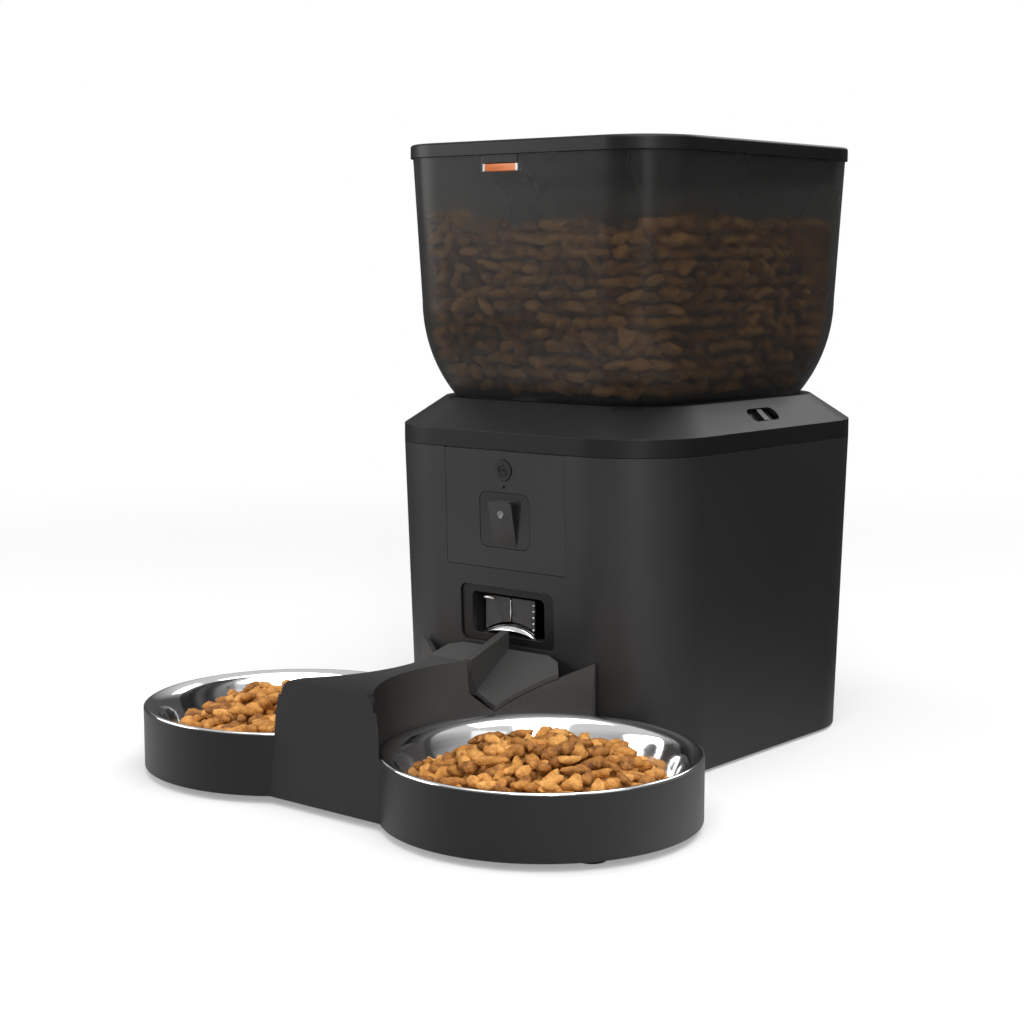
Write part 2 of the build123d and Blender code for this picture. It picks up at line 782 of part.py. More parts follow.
def make_button_switches():
    switches = []
    for z in (round_button_z, feed_button_z):
        body = front_pad(6, 6, 0.5, z, switch_face + 1, board_depth - 0.05)
        switches.append(body + front_disc(1.75, z, switch_face, switch_face + 2))
    return group(switches)


def make_microphone():
    return front_disc(2.0, microphone_z, board_depth - 2.5, board_depth - 0.05)


def make_board_screws():
    screws = []
    back = board_depth + board_thickness
    for sx in (-1, 1):
        for sz in (-1, 1):
            z = feed_button_z + sz * board_screw_z
            x = sx * board_screw_x
            head = front_disc(screw_head_radius, z, back, back + screw_head_height, x)
            screws.append(head + front_disc(screw_radius - 0.05, z, wall + 2, back + 0.5, x))
    return group(screws)


def make_outlet_bezel():
    fit = 0.15
    frame = front_pad(2 * (outlet_half_width - fit), outlet_height - 2 * fit,
                      outlet_corner - fit, outlet_z, bezel_recess, bezel_recess + wall)
    back = front_pad(2 * outlet_half_width + 6, outlet_height + 6, outlet_corner, outlet_z,
                     wall + 0.1, wall + 1.2)
    frame += back
    low = front_plane(outlet_z, depth=bezel_recess - 0.1)
    mouth = low * RectangleRounded(2 * window_half_width + 2, window_height + 2, window_corner + 1)
    deep = front_plane(outlet_z, depth=bezel_recess + wall + 0.3)
    window = deep * RectangleRounded(2 * window_half_width, window_height, window_corner)
    return frame - loft([mouth.face(), window.face()], ruled=True)


# ---- hopper and lid ----

tuck_height = hopper_knee_z - hopper_base_z


def tuck_share(z):
    """How far the hopper has drawn in at the height z, from 0 at the knee to 1 at its base."""
    drop = hopper_knee_z - z
    full = hopper_tuck_radius - sqrt(hopper_tuck_radius ** 2 - tuck_height ** 2)
    return (hopper_tuck_radius - sqrt(hopper_tuck_radius ** 2 - drop ** 2)) / full


def hopper_section(z, inset):
    if z >= hopper_knee_z:
        share = (z - hopper_knee_z) / (hopper_top_z - hopper_knee_z)
        end = (hopper_top_half_width, hopper_top_half_depth, hopper_corner)
    else:
        share = tuck_share(z)
        end = (hopper_base_half_width, hopper_base_half_depth, hopper_base_corner)
    knee = (hopper_knee_half_width, hopper_knee_half_depth, hopper_corner)
    sizes = [start + share * (stop - start) - inset for start, stop in zip(knee, end)]
    return outline(*sizes, z)


def hopper_body(inset, z0, z1):
    levels = [z0 + (hopper_knee_z - z0) * step / 5 for step in range(6)]
    tuck = loft([hopper_section(z, inset).face() for z in levels])
    upper = frustum(hopper_section(hopper_knee_z, inset), hopper_section(z1, inset))
    return tuck + upper


def latch_front(z):
    """Outer front face of the hopper at the height z."""
    share = (z - hopper_knee_z) / (hopper_top_z - hopper_knee_z)
    return -(hopper_knee_half_depth + share * (hopper_top_half_depth - hopper_knee_half_depth))


latch_bottom_z = latch_z - latch_height / 2
latch_top_z = latch_z + latch_height / 2
neck_bottom_z = plateau_z - wall - 4.0


def make_hopper():
    tank = hopper_body(0, hopper_base_z, hopper_top_z)
    tank -= hopper_body(wall, hopper_base_z + wall, hopper_top_z + 1)
    tank += rod(0, 0, neck_bottom_z, hopper_base_z + 0.5, neck_radius + wall)
    tank -= rod(0, 0, neck_bottom_z - 1, hopper_base_z + wall + 1, neck_radius)
    half = latch_width / 2 + 2 * gap
    tank -= block(latch_x - half, latch_x + half, -hopper_top_half_depth - 3,
                  -hopper_top_half_depth + 8, latch_bottom_z - gap, hopper_top_z + 2)
    return tank


def skirt_slab(inset, z0, z1):
    total = wall + lid_skirt_clearance + inset
    return slab(hopper_top_half_width - total, hopper_top_half_depth - total,
                hopper_corner - total, z0, z1)


skirt_bottom_z = hopper_top_z - lid_skirt_depth


def make_lid():
    plate = slab(lid_half_width, lid_half_depth, lid_corner, lid_z, lid_z + lid_thickness)
    plate = fillet(plate.edges().group_by(Axis.Z)[-1], 1.6)
    skirt = skirt_slab(0, skirt_bottom_z, lid_z + 0.5) - skirt_slab(2.0, 0, lid_z + 2)
    half = latch_width / 2 + gap
    lug = block(latch_x - half + gap, latch_x + half - gap, latch_front(hopper_top_z) + 0.3,
                latch_front(hopper_top_z) + 9.0, latch_top_z + gap, lid_z + 0.5)
    pocket = block(latch_x - half, latch_x + half, -120, -hopper_top_half_depth + 14,
                   skirt_bottom_z - 1, latch_top_z + gap)
    return plate + (skirt + lug - pocket)


def make_lid_latch():
    face = latch_front(latch_z) + 0.2
    return block(latch_x - latch_width / 2, latch_x + latch_width / 2, face, face + 8.0,
                 latch_bottom_z, latch_top_z)


def make_lid_gasket():
    z = lid_z - 4.4
    ring = skirt_slab(-1.6, z, z + 2.6) - skirt_slab(-0.05, z - 1, z + 4)
    half = latch_width / 2 + 2
    return ring - block(latch_x - half, latch_x + half, -120, -80, z - 1, z + 4)


def make_desiccant_box():
    top = lid_z - 0.1
    cup = slab(desiccant_size / 2, desiccant_size / 2, 6.0, lid_z - desiccant_depth, top)
    cup -= slab(desiccant_size / 2 - 1.6, desiccant_size / 2 - 1.6, 4.4,
                lid_z - desiccant_depth + 1.6, top + 1)
    for row in range(-2, 3):
        for column in range(-2, 3):
            cup -= block(column * 12 - 4, column * 12 + 4, row * 12 - 1.2, row * 12 + 1.2,
                         lid_z - desiccant_depth - 1, lid_z - desiccant_depth + 2)
    return cup


def make_desiccant_bag():
    half = desiccant_size / 2 - 4.0
    z0 = lid_z - desiccant_depth + 1.7
    return slab(half, half, 5.0, z0, lid_z - 3.0)


# ---- bowl tray ----

bowl_places = [(-bowl_offset_x, -bowl_offset_y), (bowl_offset_x, -bowl_offset_y)]
bowl_rim_radius = holder_radius - 0.4
tray_back = face_depth(block_back_z) + 0.5
guard_ramp_start = plate_half_width + 2 * gap


def guard_cone(x, y, extra):
    """Body inside a guard wall, upright below the crease and flaring outwards above it."""
    radius = holder_radius + extra
    rise = block_back_z + 5 - guard_crease_z
    flare = guard_flare * rise / (block_front_z - guard_crease_z)
    upper = Pos(x, y, guard_crease_z) * Cone(radius, radius + flare, rise, align=MIN_Z)
    if extra:
        return rod(x, y, 0, guard_crease_z, radius) + upper
    lower = rod(x, y, 0, holder_top_z, holder_radius - wall / 2)
    return lower + rod(x, y, holder_top_z, guard_crease_z, radius) + upper


def plate_z(y):
    """Upper side of the splitter plates at the place y."""
    return plate_top_z + plate_slope * (y + face_depth(plate_top_z))


def block_body(inset, z0, roof):
    """Central block between the two guard walls, set in by a wall thickness."""
    top_front = -block_front + block_front_lean
    profile = [(-block_front + inset, z0), (top_front + inset, block_front_z - roof),
               (-tray_back, block_back_z - roof), (-tray_back, z0)]
    body = side_prism(profile, block_half_width - inset)
    for x, y in bowl_places:
        body -= guard_cone(x, y, inset)
    return body


def front_corner_cut(side):
    """What rounds one upper corner of the block's front face."""
    reach = block_front - block_front_lean - bowl_offset_y
    guard_radius = holder_radius + guard_flare
    edge = bowl_offset_x - sqrt(guard_radius ** 2 - reach ** 2)
    low = block_front_z - block_corner
    cut = block(edge - block_corner, edge + 10, -block_front - 5, -block_front + 16,
                low, block_front_z + 5)
    round_part = Pos(edge - block_corner, -block_front, low) * Rot(90, 0, 0)
    cut -= round_part * Cylinder(block_corner, 60)
    return cut if side > 0 else mirror(cut, about=Plane.YZ)


def make_bowl_tray():
    tray = block_body(0, tray_foot_z, 0)
    for side in (-1, 1):
        tray -= front_corner_cut(side)
    hollow = block_body(wall, tray_foot_z - 1, wall)
    tray -= hollow & block(-90, 90, -300, -recess_front - wall, 0, 99)
    tray -= hollow & block(-90, 90, -recess_front - wall - 1, -tray_back - wall, 0,
                           recess_floor_z - wall)
    recess = block(-block_half_width - 1, block_half_width + 1, -recess_front, -tray_back + 20,
                   recess_floor_z, 80)
    for x, y in bowl_places:
        recess -= guard_cone(x, y, guard_wall)
    tray -= recess
    under_plate = plate_thickness + 2 * gap
    cut = [(-recess_front, guard_crease_z), (-plate_front, plate_z(-plate_front) - under_plate),
           (-tray_back, plate_z(-tray_back) - under_plate), (-tray_back + 9, 80),
           (-recess_front, 80)]
    tray -= side_prism(cut, guard_ramp_start)
    slope = (guard_ramp_high_z - guard_ramp_low_z) / (block_half_width - guard_ramp_start)
    for side in (-1, 1):
        ramp = [(side * (guard_ramp_start + reach), guard_ramp_low_z + reach * slope)
                for reach in (-4, block_half_width)]
        ramp += [(x, block_back_z + 20) for x, z in reversed(ramp)]
        face = make_face(Polyline(*[(x, 5 - tray_back, z) for x, z in ramp], close=True))
        tray -= extrude(face, recess_front - tray_back + 5, dir=(0, -1, 0))
    for x, y in bowl_places:
        ring = rod(x, y, tray_foot_z, holder_top_z, holder_radius)
        ring -= rod(x, y, tray_foot_z + wall, holder_top_z + 1, holder_radius - wall)
        tray += ring
        tray -= rod(x, y, tray_foot_z + wall, holder_top_z, holder_radius - wall)
    tongue = block(-tongue_half_width, tongue_half_width, -tray_back - 3,
                   -foot_half_depth + tongue_length,
                   tongue_z - tongue_thickness / 2, tongue_z + tongue_thickness / 2)
    return tray + tongue


def make_tray_feet():
    feet = []
    for x, y in bowl_places:
        for turn in (90, 210, 330):
            reach = holder_radius - 14.0
            feet.append(rod(x + reach * cos(radians(turn)), y + reach * sin(radians(turn)),
                            0, tray_foot_z, tray_foot_radius))
    return group(feet)


def make_food_splitter():
    """Fin with a sloping plate on each side, standing on a leg in the tray's recess."""
    back = face_depth(fin_top_z + splitter_lift) + gap
    side = plate_half_width
    half = [(0, -back), (side - 14.5, -back), (side - 6.5, -back - 2.6), (side, -back - 10),
            (side - 22.5, -plate_front), (side - 29.2, -plate_front + 2.1),
            (fin_thickness / 2, -fin_foot), (0, -fin_foot)]
    far = plate_front + 10
    sloped = side_prism([(-back, plate_z(-back)), (-far, plate_z(-far)),
                         (-far, plate_z(-far) - plate_thickness),
                         (-back, plate_z(-back) - plate_thickness)], side + 10)
    sketch = make_face(Polyline(*[(x, y, tray_foot_z) for x, y in half], close=True))
    wing = extrude(sketch, fin_top_z, dir=(0, 0, 1)) & sloped
    bowl_x, bowl_y = bowl_places[1]
    wing -= rod(bowl_x, bowl_y, 0, fin_top_z, bowl_rim_radius + bowl_path_clearance)
    fin = side_prism([(-back, fin_top_z), (-fin_front, fin_front_z), (-fin_front, fin_nose_z),
                      (-fin_foot, fin_foot_z), (-back, plate_z(-back) - 1)], fin_thickness / 2)
    foot_z = recess_floor_z + seam_gap
    leg_back = -back - 2
    leg_front = leg_back - splitter_leg_depth
    leg = side_prism([(leg_back, foot_z), (leg_back, plate_z(leg_back) - 1),
                      (leg_front, plate_z(leg_front) - 1), (leg_front, foot_z)],
                     splitter_leg_half_width)
    return wing + mirror(wing, about=Plane.YZ) + fin + leg


def bowl_section(shrink):
    """Half profile of the bowl's body, set in by the sheet thickness."""
    floor_z = holder_top_z - bowl_depth + shrink
    top_z = holder_top_z + bowl_rim_thickness + (1.0 if shrink else 0.0)
    mouth = holder_radius - bowl_lip_width - shrink
    points = [(0, floor_z), (bowl_floor_radius - shrink * 0.4, floor_z), (mouth, holder_top_z),
              (mouth, top_z), (0, top_z)]
    face = make_face(Polyline(*[(x, 0, z) for x, z in points], close=True))
    corner = face.vertices().sort_by_distance((bowl_floor_radius, 0, floor_z))[0]
    return fillet(corner, 20.0 - shrink)


def make_bowl(x, y):
    body = revolve(bowl_section(0), Axis.Z)
    rim = rod(0, 0, holder_top_z + seam_gap, holder_top_z + seam_gap + bowl_rim_thickness,
              bowl_rim_radius)
    bowl = (body + rim) - revolve(bowl_section(bowl_steel), Axis.Z)
    return Pos(x, y, 0) * bowl


def main():
    os.makedirs("parts", exist_ok=True)
    save("main_housing", make_main_housing())
    save("top_cover", make_top_cover())
    save("hopper_lock", make_hopper_lock())
    save("base_plate", make_base_plate())
    save("base_screws", group([screw(x, y, base_plate_z, 12.0) for x, y in boss_places]))
    save("base_feet", group([rod(x, y, 0, foot_pad_height - 0.05, foot_pad_radius)
                             for x, y in foot_places]))
    save("speaker", make_speaker())
    save("power_inlet", make_power_inlet())
    save("battery_box", make_battery_box())
    save("battery_door", make_battery_door())
    save("backup_batteries", make_backup_batteries())
    save("battery_contacts", make_battery_contacts())
    save("metering_chamber", make_metering_chamber())
    lug_head_z = lug_top_z - lug_thickness - screw_head_height
    save("chamber_screws", group([screw(x, y, lug_head_z, 10.0) for x, y in lug_places]))
    save("shield_plate", make_shield_plate())
    save("food_rotor", make_food_rotor())
    save("rotor_shaft", make_rotor_shaft())
    save("stirrer", make_stirrer())
    save("rotor_gear", make_rotor_gear())
    save("motor_pinion", make_motor_pinion())
    save("motor_shaft", make_motor_shaft())
    save("gearbox", make_gearbox())
    save("drive_motor", make_drive_motor())
    save("motor_bracket", make_motor_bracket())
    bracket_head_z = bracket_bottom_z - screw_head_height
    save("bracket_screws", group([screw(x, y, bracket_head_z, 11.0) for x, y in post_places]))
    save("food_chute", make_food_chute())
    save("chute_lip", make_chute_lip())
    save("chute_sensors", make_chute_sensors())
    save("front_panel", make_front_panel())
    save("round_button", make_round_button())
    save("feed_button", make_feed_button())
    save("status_lens", make_status_lens())
    save("control_board", make_control_board())
    save("button_switches", make_button_switches())
    save("microphone", make_microphone())
    save("board_screws", make_board_screws())
    save("outlet_bezel", make_outlet_bezel())
    save("hopper", make_hopper())
    save("lid", make_lid())
    save("lid_latch", make_lid_latch())
    save("lid_gasket", make_lid_gasket())
    save("desiccant_box", make_desiccant_box())
    save("desiccant_bag", make_desiccant_bag())
    save("bowl_tray", make_bowl_tray())
    save("tray_feet", make_tray_feet())
    save("food_splitter", make_food_splitter())
    save("left_bowl", make_bowl(*bowl_places[0]))
    save("right_bowl", make_bowl(*bowl_places[1]))


main()
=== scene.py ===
from math import radians, sin, cos, pi, hypot

import bpy
import bmesh
import numpy as np
from mathutils import Vector, Matrix
from mathutils.bvhtree import BVHTree


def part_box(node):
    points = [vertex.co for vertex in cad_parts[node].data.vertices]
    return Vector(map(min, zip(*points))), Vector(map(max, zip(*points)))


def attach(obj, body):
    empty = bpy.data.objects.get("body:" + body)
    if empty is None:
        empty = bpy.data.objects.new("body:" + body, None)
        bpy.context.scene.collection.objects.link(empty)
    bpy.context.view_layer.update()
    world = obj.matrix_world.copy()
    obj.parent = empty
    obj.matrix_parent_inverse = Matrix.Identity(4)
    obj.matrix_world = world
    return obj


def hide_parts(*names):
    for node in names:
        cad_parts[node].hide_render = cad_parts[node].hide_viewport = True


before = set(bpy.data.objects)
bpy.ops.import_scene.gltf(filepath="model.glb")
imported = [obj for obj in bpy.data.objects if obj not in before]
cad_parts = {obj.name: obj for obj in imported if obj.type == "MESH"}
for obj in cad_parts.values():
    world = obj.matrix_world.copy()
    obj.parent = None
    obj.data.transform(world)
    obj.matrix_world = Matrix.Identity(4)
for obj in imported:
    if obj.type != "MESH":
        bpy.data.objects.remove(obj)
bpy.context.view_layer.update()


# ---------------------------------------------------------------- the table
# A product table: a white sweep in a dim room, lit by six softboxes. The room shines more from
# overhead. Away from its front the sweep is painted darker for all but camera rays, a painted
# shade that shows in what mirrors it.
def mesh_piece(name):
    """The object just added, named and with its place in its mesh."""
    ob = bpy.context.object
    ob.name = name
    ob.data.name = name
    bpy.ops.object.transform_apply(location=True, rotation=True, scale=True)
    return ob


bpy.ops.object.select_all(action="DESELECT")
sweep_size = 60.0
sweep_sink = 0.0004
bpy.ops.mesh.primitive_grid_add(
    x_subdivisions=12, y_subdivisions=12, size=sweep_size, location=(0, 0, -sweep_sink))
sweep = mesh_piece("table_sweep")
sweep_paint = bpy.data.materials.new("sweep_white")
sweep_paint.use_nodes = True
sweep_tree = sweep_paint.node_tree
sweep_body = sweep_tree.nodes["Principled BSDF"]
sweep_body.inputs["Roughness"].default_value = 0.75
sweep_body.inputs["Specular IOR Level"].default_value = 0.2
sweep_out = sweep_tree.nodes["Material Output"]
sweep_far = sweep_tree.nodes.new("ShaderNodeEmission")
sweep_where = sweep_tree.nodes.new("ShaderNodeTexCoord")
sweep_reach = sweep_tree.nodes.new("ShaderNodeVectorMath")
sweep_reach.operation = "LENGTH"
sweep_fade = sweep_tree.nodes.new("ShaderNodeMapRange")
sweep_fade.interpolation_type = "SMOOTHSTEP"
sweep_fade.inputs["From Min"].default_value = 0.45
sweep_fade.inputs["From Max"].default_value = 1.3
sweep_fade.inputs["To Min"].default_value = 0.3
# Painted shade: for all but camera rays the sweep darkens away from its front.
sweep_gloom = sweep_tree.nodes.new("ShaderNodeMapRange")
sweep_gloom.interpolation_type = "SMOOTHSTEP"
sweep_gloom.inputs["From Min"].default_value = 0.30
sweep_gloom.inputs["From Max"].default_value = 0.85
sweep_gloom.inputs["To Min"].default_value = 0.80
sweep_gloom.inputs["To Max"].default_value = 0.05
sweep_shift = sweep_tree.nodes.new("ShaderNodeVectorMath")
sweep_shift.operation = "SUBTRACT"
sweep_shift.inputs[1].default_value = (0.05, -0.45, 0)
sweep_apart = sweep_tree.nodes.new("ShaderNodeVectorMath")
sweep_apart.operation = "LENGTH"
sweep_tone = sweep_tree.nodes.new("ShaderNodeMix")
sweep_white = 0.9
sweep_seen = sweep_tree.nodes.new("ShaderNodeLightPath")
sweep_share = sweep_tree.nodes.new("ShaderNodeMath")
sweep_share.operation = "MULTIPLY"
sweep_mix = sweep_tree.nodes.new("ShaderNodeMixShader")
sweep_tree.links.new(sweep_where.outputs["Object"], sweep_reach.inputs[0])
sweep_tree.links.new(sweep_reach.outputs["Value"], sweep_fade.inputs["Value"])
sweep_tree.links.new(sweep_where.outputs["Object"], sweep_shift.inputs[0])
sweep_tree.links.new(sweep_shift.outputs["Vector"], sweep_apart.inputs[0])
sweep_tree.links.new(sweep_apart.outputs["Value"], sweep_gloom.inputs["Value"])
sweep_tree.links.new(sweep_seen.outputs["Is Camera Ray"], sweep_tone.inputs[0])
sweep_tree.links.new(sweep_gloom.outputs["Result"], sweep_tone.inputs[2])
sweep_tone.inputs[3].default_value = sweep_white
sweep_tree.links.new(sweep_tone.outputs[0], sweep_body.inputs["Base Color"])
sweep_tree.links.new(sweep_fade.outputs["Result"], sweep_share.inputs[0])
sweep_tree.links.new(sweep_seen.outputs["Is Camera Ray"], sweep_share.inputs[1])
sweep_tree.links.new(sweep_share.outputs["Value"], sweep_mix.inputs["Fac"])
sweep_tree.links.new(sweep_body.outputs["BSDF"], sweep_mix.inputs[1])
sweep_tree.links.new(sweep_far.outputs["Emission"], sweep_mix.inputs[2])
sweep_tree.links.new(sweep_mix.outputs["Shader"], sweep_out.inputs["Surface"])
sweep.data.materials.append(sweep_paint)

tent = bpy.data.worlds.new("tent")
bpy.context.scene.world = tent
tent.use_nodes = True
cloth = tent.node_tree
for node in list(cloth.nodes):
    cloth.nodes.remove(node)
cloth_out = cloth.nodes.new("ShaderNodeOutputWorld")
cloth_mix = cloth.nodes.new("ShaderNodeMixShader")
cloth_seen = cloth.nodes.new("ShaderNodeLightPath")
cloth_back = cloth.nodes.new("ShaderNodeBackground")
cloth_back.inputs["Color"].default_value = (1, 1, 1, 1)
cloth_lit = cloth.nodes.new("ShaderNodeBackground")
room_light, overhead_shine = 0.11, 0.75
cloth_where = cloth.nodes.new("ShaderNodeTexCoord")
cloth_axes = cloth.nodes.new("ShaderNodeSeparateXYZ")
cloth_rise = cloth.nodes.new("ShaderNodeMapRange")
cloth_rise.inputs["From Min"].default_value = 0.28
cloth_rise.inputs["From Max"].default_value = 0.60
cloth_rise.inputs["To Min"].default_value = 0.0
cloth_rise.inputs["To Max"].default_value = overhead_shine
cloth_shine = cloth.nodes.new("ShaderNodeMath")
cloth_shine.operation = "MULTIPLY_ADD"
cloth_shine.inputs[2].default_value = room_light
cloth.links.new(cloth_where.outputs["Generated"], cloth_axes.inputs["Vector"])
cloth.links.new(cloth_axes.outputs["Z"], cloth_rise.inputs["Value"])
cloth.links.new(cloth_rise.outputs["Result"], cloth_shine.inputs[0])
cloth.links.new(cloth_seen.outputs["Is Glossy Ray"], cloth_shine.inputs[1])
cloth.links.new(cloth_shine.outputs["Value"], cloth_lit.inputs["Strength"])
cloth.links.new(cloth_seen.outputs["Is Camera Ray"], cloth_mix.inputs["Fac"])
cloth.links.new(cloth_lit.outputs["Background"], cloth_mix.inputs[1])
cloth.links.new(cloth_back.outputs["Background"], cloth_mix.inputs[2])
cloth.links.new(cloth_mix.outputs["Shader"], cloth_out.inputs["Surface"])
bpy.context.scene.view_settings.view_transform = "Standard"


def softbox(name, place, aim, width, height, watts):
    box = bpy.data.lights.new(name, "AREA")
    box.shape = "RECTANGLE"
    box.size, box.size_y, box.energy = width, height, watts
    ob = bpy.data.objects.new(name, box)
    bpy.context.collection.objects.link(ob)
    ob.location = place
    ob.visible_camera = False
    ob.rotation_euler = (Vector(aim) - Vector(place)).to_track_quat("-Z", "Y").to_euler()
    return ob


softbox("box_front", (-1.42, -0.92, 0.60), (0, -0.05, 0.15), 1.3, 0.8, 15.0)
softbox("box_near", (0.90, -1.10, 1.10), (0, -0.05, 0.05), 1.2, 1.3, 9.0)
softbox("box_right", (1.50, -0.15, 0.60), (0, -0.05, 0.10), 0.8, 0.8, 1.2)
softbox("box_strip", (1.15, -1.15, 0.70), (0, 0, 0.22), 0.13, 1.1, 7.0)
softbox("box_back", (0.15, 1.55, 1.35), (0, 0, 0.15), 1.2, 0.8, 10.0)
softbox("box_top", (0.45, -0.25, 2.1), (0.05, -0.05, 0), 2.4, 2.4, 46.0)

lens = bpy.data.cameras.new("lens")
lens.sensor_width, lens.lens = 36.0, 68.80
lens.shift_x, lens.shift_y = 0.0034, 0.0028
camera = bpy.data.objects.new("camera", lens)
bpy.context.collection.objects.link(camera)
camera.location = (0.635, -0.78765, 0.2582)
camera.rotation_euler = (radians(90 - 7.47), 0, radians(39.98))
bpy.context.scene.camera = camera


# ---------------------------------------------------------------- housing
# The housing is one deep tub of black ABS, moulded upside down with a fine
# spark-eroded grain outside. Its edges come out of the tool slightly round.
def grained(
    name, dark, light, rough, patch=9.0, grain=1600.0, depth=0.00002, metal=0.0, level=0.5,
    spread=0.05):
    """A moulded or cast finish: patches of tone and sheen, and a fine grain."""
    mat = bpy.data.materials.new(name)
    mat.use_nodes = True
    tree = mat.node_tree
    body = tree.nodes["Principled BSDF"]
    body.inputs["Metallic"].default_value = metal
    body.inputs["Specular IOR Level"].default_value = level
    where = tree.nodes.new("ShaderNodeTexCoord")
    tone = tree.nodes.new("ShaderNodeTexNoise")
    tone.inputs["Scale"].default_value = patch
    tone.inputs["Detail"].default_value = 3.0
    ramp = tree.nodes.new("ShaderNodeValToRGB")
    ramp.color_ramp.elements[0].position, ramp.color_ramp.elements[1].position = 0.35, 0.65
    ramp.color_ramp.elements[0].color = (*dark, 1)
    ramp.color_ramp.elements[1].color = (*light, 1)
    sheen = tree.nodes.new("ShaderNodeMapRange")
    sheen.inputs["To Min"].default_value = rough - spread
    sheen.inputs["To Max"].default_value = rough + spread
    fine = tree.nodes.new("ShaderNodeTexNoise")
    fine.inputs["Scale"].default_value = grain
    fine.inputs["Detail"].default_value = 2.0
    bump = tree.nodes.new("ShaderNodeBump")
    bump.inputs["Distance"].default_value = depth
    tree.links.new(where.outputs["Object"], tone.inputs["Vector"])
    tree.links.new(where.outputs["Object"], fine.inputs["Vector"])
    tree.links.new(tone.outputs["Fac"], ramp.inputs["Fac"])
    tree.links.new(tone.outputs["Fac"], sheen.inputs["Value"])
    tree.links.new(ramp.outputs["Color"], body.inputs["Base Color"])
    tree.links.new(sheen.outputs["Result"], body.inputs["Roughness"])
    tree.links.new(fine.outputs["Fac"], bump.inputs["Height"])
    tree.links.new(bump.outputs["Normal"], body.inputs["Normal"])
    return mat


def moulded(node, name, body, mat, edge, steps=2, sharp=32.0, flat=0.4):
    """A CAD piece with its edges rounded as the mould leaves them."""
    bpy.ops.object.select_all(action="DESELECT")
    ob = bpy.data.objects.new(name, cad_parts[node].data.copy())
    ob.data.name = name
    bpy.context.collection.objects.link(ob)
    ob.select_set(True)
    bpy.context.view_layer.objects.active = ob
    ob.data.materials.clear()
    ob.data.materials.append(mat)
    bpy.ops.mesh.customdata_custom_splitnormals_clear()
    bpy.ops.object.mode_set(mode="EDIT")
    bpy.ops.mesh.select_all(action="SELECT")
    bpy.ops.mesh.remove_doubles(threshold=2e-6)
    if flat:
        bpy.ops.mesh.dissolve_limited(angle_limit=radians(flat))
    bpy.ops.object.mode_set(mode="OBJECT")
    if edge:
        rounding = ob.modifiers.new("edge", "BEVEL")
        rounding.width = edge
        rounding.segments = steps
        rounding.limit_method = "ANGLE"
        rounding.angle_limit = radians(sharp)
        bpy.ops.object.modifier_apply(modifier="edge")
    bpy.ops.object.shade_smooth_by_angle(angle=radians(sharp))
    settle = ob.modifiers.new("settle", "WEIGHTED_NORMAL")
    settle.keep_sharp = True
    settle.weight = 80
    bpy.ops.object.modifier_apply(modifier="settle")
    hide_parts(node)
    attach(ob, body)
    return ob


def finish(mat, *nodes):
    """A CAD piece that stays as it is takes its finish here."""
    for node in nodes:
        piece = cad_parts[node]
        piece.data.materials.clear()
        piece.data.materials.append(mat)


black_abs = grained(
    "black_abs", (0.0125, 0.0125, 0.0128), (0.0155, 0.0155, 0.0158), 0.43, depth=0.00003,
    level=0.42)
moulded("main_housing", "housing_shell", "base", black_abs, 0.0007, steps=3)


# ---------------------------------------------------------------- base
# A flat moulded plate closes the tub from below on four steel screws and four
# rubber feet. Three cells, the speaker and the power socket sit in it.
inner_abs = grained("inner_abs", (0.012, 0.012, 0.012), (0.017, 0.017, 0.017), 0.55, grain=900.0)
screw_steel = grained(
    "screw_steel", (0.40, 0.40, 0.41), (0.55, 0.55, 0.56), 0.30, patch=60.0, grain=2500.0,
    depth=0.00001, metal=1.0)
soft_rubber = grained(
    "soft_rubber", (0.020, 0.020, 0.020), (0.032, 0.032, 0.031), 0.85, patch=30.0, grain=1100.0,
    depth=0.00005, level=0.3)
cell_jacket = grained("cell_jacket", (0.05, 0.09, 0.16), (0.07, 0.12, 0.21), 0.35, patch=40.0)
spring_metal = grained(
    "spring_metal", (0.62, 0.60, 0.55), (0.74, 0.72, 0.68), 0.24, patch=70.0, metal=1.0)
finish(black_abs, "base_plate", "battery_door", "power_inlet")
finish(inner_abs, "battery_box", "speaker")
finish(soft_rubber, "base_feet")
finish(screw_steel, "base_screws")
finish(cell_jacket, "backup_batteries")
finish(spring_metal, "battery_contacts")


# ---------------------------------------------------------------- drive
# A geared motor hangs on a steel bracket and turns the soft-vaned rotor in the
# metering chamber. Gears and chamber are moulded white and grey acetal.
white_acetal = grained("white_acetal", (0.70, 0.70, 0.67), (0.80, 0.80, 0.77), 0.42, patch=25.0)
grey_acetal = grained("grey_acetal", (0.13, 0.13, 0.135), (0.18, 0.18, 0.185), 0.45, patch=25.0)
finish(white_acetal, "rotor_gear", "motor_pinion")
finish(grey_acetal, "metering_chamber", "shield_plate", "food_rotor", "stirrer", "gearbox")
finish(
    screw_steel, "rotor_shaft", "motor_shaft", "motor_bracket", "drive_motor", "chamber_screws",
    "bracket_screws")


# ---------------------------------------------------------------- food chute
# The chute slopes from the drop hole to the outlet, with two optical sensors
# over its mouth and a pressed steel lip that the food slides off.
sensor_black = grained(
    "sensor_black", (0.010, 0.010, 0.010), (0.015, 0.015, 0.015), 0.30, patch=80.0)
lip_steel = grained(
    "lip_steel", (0.74, 0.74, 0.75), (0.82, 0.82, 0.83), 0.10, patch=120.0, grain=3000.0,
    depth=0.000004, metal=1.0, spread=0.03)
finish(inner_abs, "food_chute")
finish(sensor_black, "chute_sensors")

